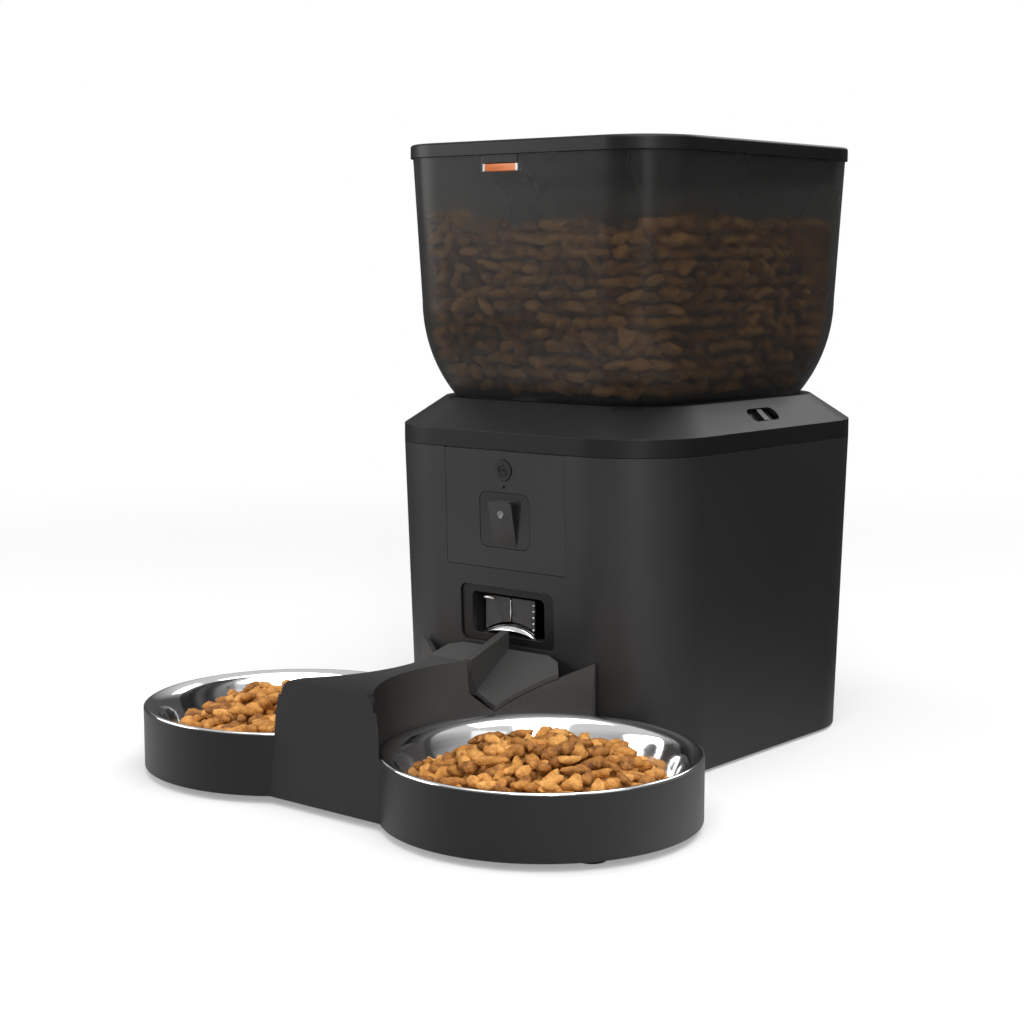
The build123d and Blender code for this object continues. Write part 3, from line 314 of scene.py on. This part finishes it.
# The lip is drawn from one polished sheet in two steps, high behind and low in
# front, so that food parts to both sides of the fin.
lip_low, lip_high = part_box("chute_lip")
lip_forward = 0.0034
lip_rows = [
    (0.0, 0.40), (0.0007, 0.60), (0.0019, 0.74), (0.0032, 0.80), (0.0038, 0.77), (0.0043, 0.86),
    (0.0058, 0.95), (0.0080, 1.0), (0.0118, 1.0)]
lip_half = (lip_high.x - lip_low.x) / 2
lip_thickness = 0.0006
lip_height = lip_high.z - lip_low.z - 2 * lip_thickness
lip_narrow, lip_widen = 0.90, 0.10
lip_points, lip_faces, lip_steps = [], [], 28
for back, share in lip_rows:
    rise = lip_height * share
    reach = lip_half * (lip_narrow + lip_widen * share)
    for k in range(lip_steps + 1):
        across = -1 + 2 * k / lip_steps
        arch = lip_low.z + lip_thickness + rise * (1 - across * across)
        lip_points.append((across * reach, lip_low.y - lip_forward + back, arch))
for r in range(len(lip_rows) - 1):
    for k in range(lip_steps):
        a = r * (lip_steps + 1) + k
        lip_faces.append((a, a + 1, a + lip_steps + 2, a + lip_steps + 1))
lip_mesh = bpy.data.meshes.new("outlet_lip")
lip_mesh.from_pydata(lip_points, [], lip_faces)
outlet_lip = bpy.data.objects.new("outlet_lip", lip_mesh)
bpy.context.collection.objects.link(outlet_lip)
bpy.ops.object.select_all(action="DESELECT")
outlet_lip.select_set(True)
bpy.context.view_layer.objects.active = outlet_lip
sheet = outlet_lip.modifiers.new("sheet", "SOLIDIFY")
sheet.thickness = lip_thickness
sheet.offset = -1
bpy.ops.object.modifier_apply(modifier="sheet")
bpy.ops.object.shade_smooth_by_angle(angle=radians(50))
lip_mesh.materials.append(lip_steel)
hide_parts("chute_lip")
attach(outlet_lip, "base")


def slip(name, size, place, mat, round_by):
    """A thin flat piece with rounded edges."""
    bpy.ops.object.select_all(action="DESELECT")
    bpy.ops.mesh.primitive_cube_add(size=1.0, location=place, scale=size)
    ob = mesh_piece(name)
    edge = ob.modifiers.new("edge", "BEVEL")
    edge.width = round_by
    edge.segments = 2
    bpy.ops.object.modifier_apply(modifier="edge")
    bpy.ops.object.shade_smooth_by_angle(angle=radians(35))
    ob.data.materials.append(mat)
    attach(ob, "base")
    return ob


# Two silicone flaps hang behind the outlet and keep the air out. A bright strip
# weights their meeting edge, and the sensor's dots run down the right side.
flap_silicone = grained(
    "flap_silicone", (0.016, 0.016, 0.0165), (0.028, 0.028, 0.0285), 0.28, patch=140.0,
    grain=900.0, depth=0.00006)
bright_strip = grained(
    "bright_strip", (0.55, 0.55, 0.56), (0.78, 0.78, 0.79), 0.22, patch=300.0, metal=1.0)
dot_white = grained("dot_white", (0.72, 0.72, 0.72), (0.88, 0.88, 0.88), 0.35, patch=500.0)
flap_y = lip_low.y - 0.0004
seam_x = -0.0012
flap_high_z = 0.0850
flap_thickness = 0.0006
flap_play = 0.0015
lip_span = 0.98 * lip_half
lip_share_at_flap = 0.81


def flap_foot(x):
    """Where a flap ends: just over the lip, whose middle stands highest."""
    arch = lip_share_at_flap * lip_height * (1 - (x / lip_span) ** 2)
    return lip_low.z + flap_play + arch


def flap(name, left, right):
    """A silicone flap that ends in the curve of the lip below it."""
    bpy.ops.object.select_all(action="DESELECT")
    bpy.ops.mesh.primitive_grid_add(x_subdivisions=14, y_subdivisions=1, size=1.0)
    ob = mesh_piece(name)
    for v in ob.data.vertices:
        x = left + (v.co.x + 0.5) * (right - left)
        v.co = (x, flap_y, flap_high_z if v.co.y > 0 else flap_foot(x))
    sheet = ob.modifiers.new("sheet", "SOLIDIFY")
    sheet.thickness = flap_thickness
    bpy.ops.object.modifier_apply(modifier="sheet")
    bpy.ops.object.shade_smooth_by_angle(angle=radians(35))
    ob.data.materials.append(flap_silicone)
    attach(ob, "base")


flap("flap_left", seam_x - 0.0171, seam_x - 0.0005)
flap("flap_right", seam_x + 0.0005, seam_x + 0.0155)
weight_low_z = flap_foot(seam_x) + 0.0003
weight_high_z = flap_high_z - 0.0010
weight_middle_z = (weight_low_z + weight_high_z) / 2
weight_size = (0.0006, 0.0009, weight_high_z - weight_low_z)
weight_place = (seam_x, flap_y - 0.0002, weight_middle_z)
slip("flap_weight", weight_size, weight_place, bright_strip, 0.00015)
strip_size = (0.0075, 0.0005, 0.0010)
strip_place = (-0.0160, flap_y - 0.0006, 0.0838)
slip("sensor_strip", strip_size, strip_place, bright_strip, 0.00015)
dot_count, dot_radius, dot_x = 5, 0.00055, 0.0138
dot_top_z, dot_step = 0.0828, 0.0032
for k in range(dot_count):
    bpy.ops.object.select_all(action="DESELECT")
    dot_place = (dot_x, flap_y - 0.0003, dot_top_z - dot_step * k)
    bpy.ops.mesh.primitive_uv_sphere_add(
        segments=16, ring_count=10, radius=dot_radius, location=dot_place)
    dot = mesh_piece("sensor_dot_" + str(k + 1))
    bpy.ops.object.shade_smooth()
    dot.data.materials.append(dot_white)
    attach(dot, "base")
gloss_abs = grained(
    "gloss_abs", (0.005, 0.005, 0.0052), (0.007, 0.007, 0.0072), 0.36, level=0.3, grain=2200.0,
    depth=0.000008)
moulded("outlet_bezel", "outlet_frame", "base", gloss_abs, 0.0006, steps=3)


# ---------------------------------------------------------------- controls
# One board carries the switches and the microphone behind a thin smooth
# panel. The round and the square button press on it through the panel.
board_green = grained(
    "board_green", (0.010, 0.10, 0.035), (0.018, 0.15, 0.055), 0.35, patch=160.0, grain=600.0,
    depth=0.00004)
lens_clear = grained(
    "lens_clear", (0.05, 0.052, 0.055), (0.22, 0.225, 0.235), 0.10, patch=620.0, depth=0.000003)
panel_abs = grained(
    "panel_abs", (0.0135, 0.0135, 0.0138), (0.0160, 0.0160, 0.0163), 0.38, level=0.45,
    grain=2200.0, depth=0.000012)
button_abs = grained(
    "button_abs", (0.0085, 0.0085, 0.0088), (0.0105, 0.0105, 0.0108), 0.30, grain=2400.0,
    depth=0.000008)
finish(board_green, "control_board")
finish(sensor_black, "button_switches", "microphone")
finish(screw_steel, "board_screws")
moulded("front_panel", "control_panel", "base", panel_abs, 0.0003)
moulded("round_button", "call_button", "round_button", button_abs, 0.0004)

# A broken ring and a short bar are printed on the round button in gloss ink.
call_low, call_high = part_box("round_button")
call_middle = (call_low + call_high) / 2
call_lean = radians(90 + 2.0)
bpy.ops.object.select_all(action="DESELECT")
bpy.ops.mesh.primitive_torus_add(
    major_segments=40, minor_segments=8, major_radius=0.0027, minor_radius=0.00042)
call_mark = mesh_piece("call_mark")
bpy.ops.object.mode_set(mode="EDIT")
bpy.ops.mesh.select_all(action="SELECT")
bpy.ops.mesh.bisect(
    plane_co=(0.0016, 0, 0), plane_no=(0.94, 0.34, 0), use_fill=True, clear_outer=True)
bpy.ops.mesh.primitive_cube_add(size=1.0, location=(0.0003, 0, 0), scale=(0.0024, 0.0009, 0.0004))
bpy.ops.object.mode_set(mode="OBJECT")
ink_proud, ink_flat = 0.00012, 0.55
call_place = Matrix.Translation((call_middle.x, call_low.y + ink_proud, call_middle.z))
call_turn = Matrix.Rotation(call_lean, 4, "X")
call_mark.data.transform(call_place @ call_turn @ Matrix.Diagonal((1, 1, ink_flat, 1)))
bpy.ops.object.shade_smooth_by_angle(angle=radians(35))
gloss_ink = grained(
    "gloss_ink", (0.0015, 0.0015, 0.0015), (0.003, 0.003, 0.003), 0.25, level=0.25,
    depth=0.000004)
call_mark.data.materials.append(gloss_ink)
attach(call_mark, "round_button")
moulded(
    "feed_button", "feed_key", "feed_button", button_abs, 0.00055,
    steps=3)
finish(lens_clear, "status_lens")


# ---------------------------------------------------------------- top cover
# The cover is a second ABS moulding that drops into the tub. A sliding tab in
# its right shoulder locks the hopper down.
cover_abs = grained(
    "cover_abs", (0.0055, 0.0055, 0.0057), (0.0075, 0.0075, 0.0077), 0.43, depth=0.00003,
    level=0.26)
moulded("top_cover", "shoulder_cover", "base", cover_abs, 0.0008, steps=3)
moulded("hopper_lock", "lock_tab", "lock", gloss_abs, 0.0004)


# ---------------------------------------------------------------- food
# Extruded dry food: ovals, little bones and three-lobed pieces, baked golden
# brown with a rough, slightly greasy crust. No two pieces have quite one tone.
oval_size = (0.0056, 0.0031, 0.0028)
bone_size = (0.0074, 0.0032, 0.0029)
clover_size = (0.0060, 0.0060, 0.0028)
chance = np.random.default_rng(11)


def shape_data(ob):
    """The points and faces of a small pattern, which is then thrown away."""
    mesh = ob.data
    pts = np.array([v.co[:] for v in mesh.vertices])
    faces = [tuple(p.vertices) for p in mesh.polygons]
    bpy.data.objects.remove(ob)
    return pts, faces


def food_patterns():
    """The three shapes that the extruder's dies cut, each a small mesh."""
    patterns = []
    bpy.ops.mesh.primitive_ico_sphere_add(subdivisions=2, radius=1.0)
    pts, faces = shape_data(mesh_piece("oval"))
    patterns.append((pts * oval_size, faces))
    bpy.ops.mesh.primitive_uv_sphere_add(
        segments=10, ring_count=8, radius=1.0, rotation=(0, pi / 2, 0))
    pts, faces = shape_data(mesh_piece("bone"))
    ends = np.clip(np.abs(pts[:, 0]) * 1.25, 0, 1) ** 3
    pts[:, 1] *= 0.66 + 0.62 * ends
    pts[:, 2] *= 0.84 + 0.16 * ends
    pts[:, 0] -= np.sign(pts[:, 0]) * 0.16 * np.exp(-((pts[:, 1] / 0.35) ** 2)) * ends
    patterns.append((pts * bone_size, faces))
    bpy.ops.mesh.primitive_uv_sphere_add(segments=12, ring_count=6, radius=1.0)
    pts, faces = shape_data(mesh_piece("clover"))
    turn = np.arctan2(pts[:, 1], pts[:, 0])
    pts[:, :2] *= (0.80 + 0.24 * np.cos(3 * turn))[:, None]
    patterns.append((pts * clover_size, faces))
    return patterns


patterns = food_patterns()
food_share = (0.30, 0.42, 0.28)


def morsel(place, lean, heading=None):
    """One piece of food, its points in place, and its faces."""
    kind = chance.choice(3, p=food_share)
    pts, faces = patterns[kind]
    course = chance.uniform(0, 2 * pi) if heading is None else chance.normal(heading, 0.3)
    turn = Matrix.Rotation(course, 3, "Z")
    tilt = chance.normal(0, lean)
    hinge = Vector((chance.uniform(-1, 1), chance.uniform(-1, 1), 0.001)).normalized()
    tip = Matrix.Rotation(tilt, 3, hinge)
    roll = Matrix.Rotation(chance.uniform(-0.5, 0.5), 3, "X")
    size = chance.uniform(0.86, 1.14, 3) * chance.uniform(0.92, 1.08)
    broad = np.sin(pts @ chance.uniform(600, 1300, 3) + chance.uniform(0, 6))
    fine = np.sin(pts @ chance.uniform(-1500, 1500, 3))
    lumps = 1 + 0.10 * broad + 0.06 * fine
    turned = (pts * size * lumps[:, None]) @ np.array(turn @ tip @ roll).T
    return turned + np.array(place), faces


def gather(name, parts, body):
    """Joins the pieces of one heap into one mesh with a tone for each piece."""
    verts, faces, tones, start = [], [], [], 0
    for pts, shape in parts:
        verts.append(pts)
        faces += [tuple(i + start for i in f) for f in shape]
        tones += [chance.uniform(0, 1)] * len(pts)
        start += len(pts)
    mesh = bpy.data.meshes.new(name)
    mesh.from_pydata(np.concatenate(verts).tolist(), [], faces)
    mesh.validate()
    tone = mesh.attributes.new("tone", "FLOAT", "POINT")
    tone.data.foreach_set("value", tones)
    ob = bpy.data.objects.new(name, mesh)
    bpy.context.collection.objects.link(ob)
    bpy.ops.object.select_all(action="DESELECT")
    ob.select_set(True)
    bpy.context.view_layer.objects.active = ob
    bpy.ops.object.shade_smooth()
    mesh.materials.append(crust)
    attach(ob, body)
    return ob


def baked_crust():
    """Golden to dark brown by piece and by patch, with a crumbly surface."""
    mat = bpy.data.materials.new("baked_crust")
    mat.use_nodes = True
    tree = mat.node_tree
    body = tree.nodes["Principled BSDF"]
    body.inputs["Specular IOR Level"].default_value = 0.35
    where = tree.nodes.new("ShaderNodeTexCoord")
    each = tree.nodes.new("ShaderNodeAttribute")
    each.attribute_name = "tone"
    blotch = tree.nodes.new("ShaderNodeTexNoise")
    blotch.inputs["Scale"].default_value = 330.0
    blotch.inputs["Detail"].default_value = 4.0
    both = tree.nodes.new("ShaderNodeMath")
    both.operation = "MULTIPLY_ADD"
    both.inputs[1].default_value = 0.62
    scaled = tree.nodes.new("ShaderNodeMath")
    scaled.operation = "MULTIPLY"
    scaled.inputs[1].default_value = 0.42
    ramp = tree.nodes.new("ShaderNodeValToRGB")
    ramp.color_ramp.elements[0].position = 0.24
    ramp.color_ramp.elements[0].color = (0.16, 0.052, 0.008, 1)
    ramp.color_ramp.elements[1].position = 0.80
    ramp.color_ramp.elements[1].color = (0.86, 0.43, 0.115, 1)
    middle = ramp.color_ramp.elements.new(0.52)
    middle.color = (0.55, 0.235, 0.048, 1)
    crumb = tree.nodes.new("ShaderNodeTexNoise")
    crumb.inputs["Scale"].default_value = 900.0
    crumb.inputs["Detail"].default_value = 5.0
    bump = tree.nodes.new("ShaderNodeBump")
    bump.inputs["Distance"].default_value = 0.0011
    bump.inputs["Strength"].default_value = 1.0
    sheen = tree.nodes.new("ShaderNodeMapRange")
    sheen.inputs["To Min"].default_value = 0.45
    sheen.inputs["To Max"].default_value = 0.75
    link = tree.links.new
    link(where.outputs["Object"], blotch.inputs["Vector"])
    link(where.outputs["Object"], crumb.inputs["Vector"])
    link(each.outputs["Fac"], scaled.inputs[0])
    link(blotch.outputs["Fac"], both.inputs[0])
    link(scaled.outputs["Value"], both.inputs[2])
    link(both.outputs["Value"], ramp.inputs["Fac"])
    link(ramp.outputs["Color"], body.inputs["Base Color"])
    link(crumb.outputs["Fac"], bump.inputs["Height"])
    link(crumb.outputs["Fac"], sheen.inputs["Value"])
    link(sheen.outputs["Result"], body.inputs["Roughness"])
    link(bump.outputs["Normal"], body.inputs["Normal"])
    return mat


crust = baked_crust()


def pour(centre, ground, top, reach, tries, lean, sink=0.0009):
    """Food dropped piece by piece on what already lies there, up to the heap's surface."""
    cell = 0.001
    tuck = 0.002
    crown_share, crown_rest, crown_drop = 0.6, 0.4, 0.0007
    span = int(reach / cell) + 8
    grid = np.empty((2 * span + 1, 2 * span + 1))
    for i in range(2 * span + 1):
        for j in range(2 * span + 1):
            grid[i, j] = ground((i - span) * cell, (j - span) * cell)

    def cells(across):
        return np.clip(np.round(across / cell).astype(int) + span, 0, 2 * span)

    parts = []
    for _ in range(tries):
        x, y = chance.uniform(-reach, reach, 2)
        limit = top(x, y)
        if limit is None:
            continue
        pts, faces = morsel((0, 0, 0), lean)
        low = pts[:, 2].min()
        ii, jj = cells(pts[:, 0] + x), cells(pts[:, 1] + y)
        bed = (grid[ii, jj] - (pts[:, 2] - low)).max()
        under = np.percentile(grid[ii, jj], 60)
        rest = min(bed, under + tuck)
        rest = max(rest, ground(x, y)) - sink
        if rest - low - low > limit:
            continue
        pts = pts + (x, y, rest - low)
        np.maximum.at(grid, (ii, jj), pts[:, 2])
        peak = pts[:, 2].max()
        inner_i = cells(pts[:, 0] * crown_share + x * crown_rest)
        inner_j = cells(pts[:, 1] * crown_share + y * crown_rest)
        np.maximum.at(grid, (inner_i, inner_j), peak - crown_drop)
        parts.append((pts + (centre[0], centre[1], 0), faces))
    return parts


# ---------------------------------------------------------------- hopper
# The hopper is blow-moulded from smoke-tinted plastic, frosted inside, so the
# food in it shows only as a soft dark mass.
def smoked_wall():
    """Smoke-tinted clear plastic with a light frost."""
    mat = grained(
        "smoked_wall", (0.33, 0.33, 0.32), (0.38, 0.38, 0.37), 0.27, patch=7.0, grain=1300.0,
        depth=0.00002)
    body = mat.node_tree.nodes["Principled BSDF"]
    body.inputs["Transmission Weight"].default_value = 0.97
    body.inputs["IOR"].default_value = 1.22
    return mat


moulded("hopper", "hopper_shell", "hopper", smoked_wall(), 0, flat=0)

# The food in it stands against the walls. Behind the layers that show it is
# one packed mass.
hopper_low, hopper_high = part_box("hopper")
hopper_axis = (hopper_low + hopper_high) / 2
food_base_z = 0.1900
food_top_z = 0.2785
hopper_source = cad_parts["hopper"].data
wall_points = [v.co[:] for v in hopper_source.vertices]
wall_faces = [tuple(p.vertices) for p in hopper_source.polygons]
hopper_wall = BVHTree.FromPolygons(wall_points, wall_faces)


def wall_reach(turn, z):
    """How far the hopper's inner wall lies from its axis in one direction."""
    start = Vector((hopper_axis.x, hopper_axis.y, z))
    hit = hopper_wall.ray_cast(start, Vector((cos(turn), sin(turn), 0)))
    return hit[3] if hit[0] else 0.05


wall_play = 0.0006


def off_the_wall(pts):
    """Moves a piece of food towards the axis until it clears the wall."""
    rel = pts[:, :2] - (hopper_axis.x, hopper_axis.y)
    room = min(
        wall_reach(float(np.arctan2(y, x)), float(z)) - hypot(x, y)
        for (x, y), z in zip(rel, pts[:, 2]))
    if room < wall_play:
        away = rel.mean(0)
        pts = pts - np.append(away / np.linalg.norm(away) * (wall_play - room) * 1.15, 0)
    return pts


def food_surface(x, y):
    """Height of the heap in the hopper: uneven, as it was poured in."""
    return food_top_z + 0.006 * sin(x * 31 + 0.6) * cos(y * 27) - 0.0025 * cos(x * 83 + y * 61)


def packed_mass():
    """The food behind the layers that show, as one lumpy block."""
    inset, lump = 0.0085, 0.0012
    levels = np.linspace(food_base_z, food_top_z - 0.017, 9)
    around = 72
    shell = bmesh.new()
    rings = []
    for z in levels:
        ring = []
        for k in range(around):
            turn = 2 * pi * k / around
            reach = wall_reach(turn, float(z)) - inset - lump * (1 + sin(9 * turn + 60 * z))
            place = (hopper_axis.x + reach * cos(turn), hopper_axis.y + reach * sin(turn), z)
            ring.append(shell.verts.new(place))
        rings.append(ring)
    for low, high in zip(rings, rings[1:]):
        for k in range(around):
            shell.faces.new((low[k], low[(k + 1) % around], high[(k + 1) % around], high[k]))
    shell.faces.new(list(reversed(rings[0])))
    shell.faces.new(rings[-1])
    bmesh.ops.recalc_face_normals(shell, faces=shell.faces[:])
    mesh = bpy.data.meshes.new("hopper_food_mass")
    shell.to_mesh(mesh)
    shell.free()
    ob = bpy.data.objects.new("hopper_food_mass", mesh)
    bpy.context.collection.objects.link(ob)
    mesh.materials.append(crust)
    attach(ob, "hopper")


packed_mass()
parts = []
level_step = 0.0068
layer_inset = 0.0052
layer_jog = 0.0012
for z in np.arange(food_base_z + 0.003, food_top_z + 0.004, level_step):
    turn = 0.0
    while turn < 2 * pi:
        reach = wall_reach(turn, float(z))
        x, y = (reach - layer_inset) * cos(turn), (reach - layer_inset) * sin(turn)
        if z < food_surface(x, y):
            jog = chance.uniform(-layer_jog, layer_jog, 3)
            place = (hopper_axis.x + x + jog[0], hopper_axis.y + y + jog[1], z + jog[2])
            pts, faces = morsel(place, 0.5, turn + pi / 2)
            parts.append((off_the_wall(pts), faces))
        turn += chance.uniform(0.0088, 0.0112) / reach


def mass_top(x, y):
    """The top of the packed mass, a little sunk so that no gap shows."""
    return food_top_z - 0.018


def surface_limit(x, y):
    """How high food may lie at a place, or None at the wall."""
    reach = wall_reach(float(np.arctan2(y, x)), food_top_z)
    return food_surface(x, y) if hypot(x, y) < reach - 0.009 else None


top_reach, top_tries, top_lean = 0.096, 4200, 0.35
top_centre = (hopper_axis.x, hopper_axis.y)
top_layer = pour(top_centre, mass_top, surface_limit, top_reach, top_tries, top_lean)
top_layer = [(off_the_wall(pts), faces) for pts, faces in top_layer]
gather("hopper_food_side", parts, "hopper")
gather("hopper_food_top", top_layer, "hopper")


# ---------------------------------------------------------------- lid
# The lid is an ABS moulding with a soft gasket round its skirt, a drawer of
# drying agent under it and an orange catch that holds it to the hopper.
lid_abs = grained(
    "lid_abs", (0.0050, 0.0050, 0.0052), (0.0068, 0.0068, 0.0070), 0.40, grain=1900.0,
    depth=0.00002, level=0.27)
catch_orange = grained(
    "catch_orange", (0.52, 0.135, 0.030), (0.62, 0.175, 0.045), 0.42, patch=60.0)
drying_cloth = grained(
    "drying_cloth", (0.74, 0.74, 0.71), (0.86, 0.86, 0.83), 0.9, patch=200.0, grain=500.0,
    depth=0.0001, level=0.2)
moulded("lid", "lid_shell", "lid", lid_abs, 0.0009, steps=3)
catch = moulded("lid_latch", "lid_catch", "latch", catch_orange, 0.00035)
catch_low, catch_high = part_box("lid_latch")
catch_end = 0.0014
bpy.ops.object.mode_set(mode="EDIT")
for cut in (catch_low.x + catch_end, catch_high.x - catch_end):
    bpy.ops.mesh.select_all(action="SELECT")
    bpy.ops.mesh.bisect(plane_co=(cut, 0, 0), plane_no=(1, 0, 0))
bpy.ops.object.mode_set(mode="OBJECT")
catch_white = grained("catch_white", (0.62, 0.62, 0.60), (0.74, 0.74, 0.72), 0.4, patch=90.0)
catch.data.materials.append(catch_white)
for face in catch.data.polygons:
    if face.center.x < catch_low.x + catch_end or face.center.x > catch_high.x - catch_end:
        face.material_index = 1  # catch_white
finish(soft_rubber, "lid_gasket")
finish(inner_abs, "desiccant_box")
finish(drying_cloth, "desiccant_bag")


# ---------------------------------------------------------------- bowl tray
# The tray is one ABS moulding: two rings for the bowls, a block between them
# and the guards that lead the food down. It stands on small rubber feet.
def painted_sheen_by_y(mat, shaded_y, sheen_y):
    """Painted light: lighter grey towards the outlet as a painted sheen, dark in front as painted
    shade.
    """
    tree = mat.node_tree
    coord = next(n for n in tree.nodes if n.bl_idname == "ShaderNodeTexCoord")
    ramp = next(n for n in tree.nodes if n.bl_idname == "ShaderNodeValToRGB")
    axes = tree.nodes.new("ShaderNodeSeparateXYZ")
    sheen_share = tree.nodes.new("ShaderNodeMapRange")
    sheen_share.interpolation_type = "SMOOTHSTEP"
    sheen_share.inputs["From Min"].default_value = shaded_y
    sheen_share.inputs["From Max"].default_value = sheen_y
    blend = tree.nodes.new("ShaderNodeMix")
    blend.data_type = "RGBA"
    # The lighter grey is the painted sheen.
    blend.inputs[7].default_value = (0.046, 0.045, 0.044, 1)
    tree.links.new(coord.outputs["Object"], axes.inputs["Vector"])
    tree.links.new(axes.outputs["Y"], sheen_share.inputs["Value"])
    tree.links.new(sheen_share.outputs["Result"], blend.inputs["Factor"])
    tree.links.new(ramp.outputs["Color"], blend.inputs[6])
    tree.links.new(blend.outputs[2], tree.nodes["Principled BSDF"].inputs["Base Color"])
    return mat


# The tray's front keeps the dark tone as painted shade; towards the outlet its guards turn
# lighter grey as a painted sheen.
shade_to_y, sheen_from_y = -0.165, -0.085
tray_plain = grained(
    "tray_abs", (0.0030, 0.0030, 0.0031), (0.0045, 0.0045, 0.0046), 0.44, depth=0.00003,
    level=0.32)
tray_abs = painted_sheen_by_y(tray_plain, shade_to_y, sheen_from_y)
moulded("bowl_tray", "tray_shell", "tray", tray_abs, 0.0009, steps=3)
finish(soft_rubber, "tray_feet")


# ---------------------------------------------------------------- splitter
# The splitter is a loose moulding. Its two sloping plates and the fin between
# them share the food between the bowls.
# The splitter takes the tray's finish with its painted shade and painted sheen.
moulded("food_splitter", "splitter_shell", "splitter", tray_abs, 0.0006, steps=3)


# ---------------------------------------------------------------- bowls
# The bowls are spun from thin stainless sheet, rolled over at the rim and
# polished bright, with faint rings left by the buffing wheel.
def buffed_steel(name, centre):
    """Polished steel with fine rings about the bowl's own axis."""
    mat = grained(
        name, (0.78, 0.78, 0.785), (0.84, 0.84, 0.845), 0.085, patch=14.0, grain=1800.0,
        depth=0.000002, metal=1.0, spread=0.02)
    tree = mat.node_tree
    rings = tree.nodes.new("ShaderNodeTexWave")
    rings.wave_type = "RINGS"
    rings.rings_direction = "Z"
    rings.inputs["Scale"].default_value = 260.0
    rings.inputs["Distortion"].default_value = 1.2
    hold = tree.nodes.new("ShaderNodeMapping")
    hold.inputs["Location"].default_value = (-centre.x, -centre.y, 0)
    coord = next(n for n in tree.nodes if n.bl_idname == "ShaderNodeTexCoord")
    bump = next(n for n in tree.nodes if n.bl_idname == "ShaderNodeBump")
    tree.links.new(coord.outputs["Object"], hold.inputs["Vector"])
    tree.links.new(hold.outputs["Vector"], rings.inputs["Vector"])
    tree.links.new(rings.outputs["Fac"], bump.inputs["Height"])
    return mat


bowl_line = [
    (0.0, 0.0092), (0.028, 0.0092), (0.046, 0.0095), (0.053, 0.0106), (0.0585, 0.0136),
    (0.0622, 0.0185), (0.0648, 0.0243), (0.0668, 0.0290), (0.0684, 0.0315), (0.0703, 0.0328),
    (0.0722, 0.0337), (0.0734, 0.0341), (0.0742, 0.0336), (0.07425, 0.0327)]
bowl_sheet = 0.0004
heap_radius = 0.0555
heap_peak, heap_fall, heap_wave = 0.0415, 0.0165, 0.0024
heap_tries, heap_lean = 5200, 0.45


def bowl_inside(x, y):
    """Height of the steel under a place, as far as the top of the rim."""
    radii, heights = zip(*bowl_line[:-2])
    return float(np.interp(hypot(x, y), radii, heights))


def heap_top(x, y):
    """Height that the heap in a bowl may reach, or None beside it."""
    r = hypot(x, y)
    if r > heap_radius:
        return None
    dome = heap_peak - heap_fall * (r / heap_radius) ** 2
    return dome + heap_wave * sin(x * 150) * cos(y * 130)


def spun_bowl(side, centre):
    """One bowl: the line of its wall spun round, given a wall, then smoothed."""
    bpy.ops.object.select_all(action="DESELECT")
    mesh = bpy.data.meshes.new(side + "_bowl_shell")
    line = [(centre.x + r, centre.y, z) for r, z in bowl_line]
    mesh.from_pydata(line, [(k, k + 1) for k in range(len(line) - 1)], [])
    ob = bpy.data.objects.new(side + "_bowl_shell", mesh)
    bpy.context.collection.objects.link(ob)
    ob.select_set(True)
    bpy.context.view_layer.objects.active = ob
    bpy.ops.object.mode_set(mode="EDIT")
    bpy.ops.mesh.select_all(action="SELECT")
    bpy.ops.mesh.spin(steps=96, angle=2 * pi, center=(centre.x, centre.y, 0), axis=(0, 0, 1))
    bpy.ops.mesh.select_all(action="SELECT")
    bpy.ops.mesh.remove_doubles(threshold=1e-5)
    bpy.ops.mesh.normals_make_consistent(inside=False)
    bpy.ops.object.mode_set(mode="OBJECT")
    wall = ob.modifiers.new("wall", "SOLIDIFY")
    wall.thickness = bowl_sheet
    wall.offset = 0
    bpy.ops.object.modifier_apply(modifier="wall")
    curve = ob.modifiers.new("curve", "SUBSURF")
    curve.levels = curve.render_levels = 1
    bpy.ops.object.modifier_apply(modifier="curve")
    bpy.ops.object.shade_smooth()
    mesh.materials.append(buffed_steel(side + "_bowl_steel", centre))
    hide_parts(side + "_bowl")
    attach(ob, side + "_bowl")


for side in ("left", "right"):
    low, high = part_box(side + "_bowl")
    centre = (low + high) / 2
    spun_bowl(side, centre)
    heap = pour(centre, bowl_inside, heap_top, heap_radius, heap_tries, heap_lean)
    gather(side + "_bowl_food", heap, side + "_bowl")
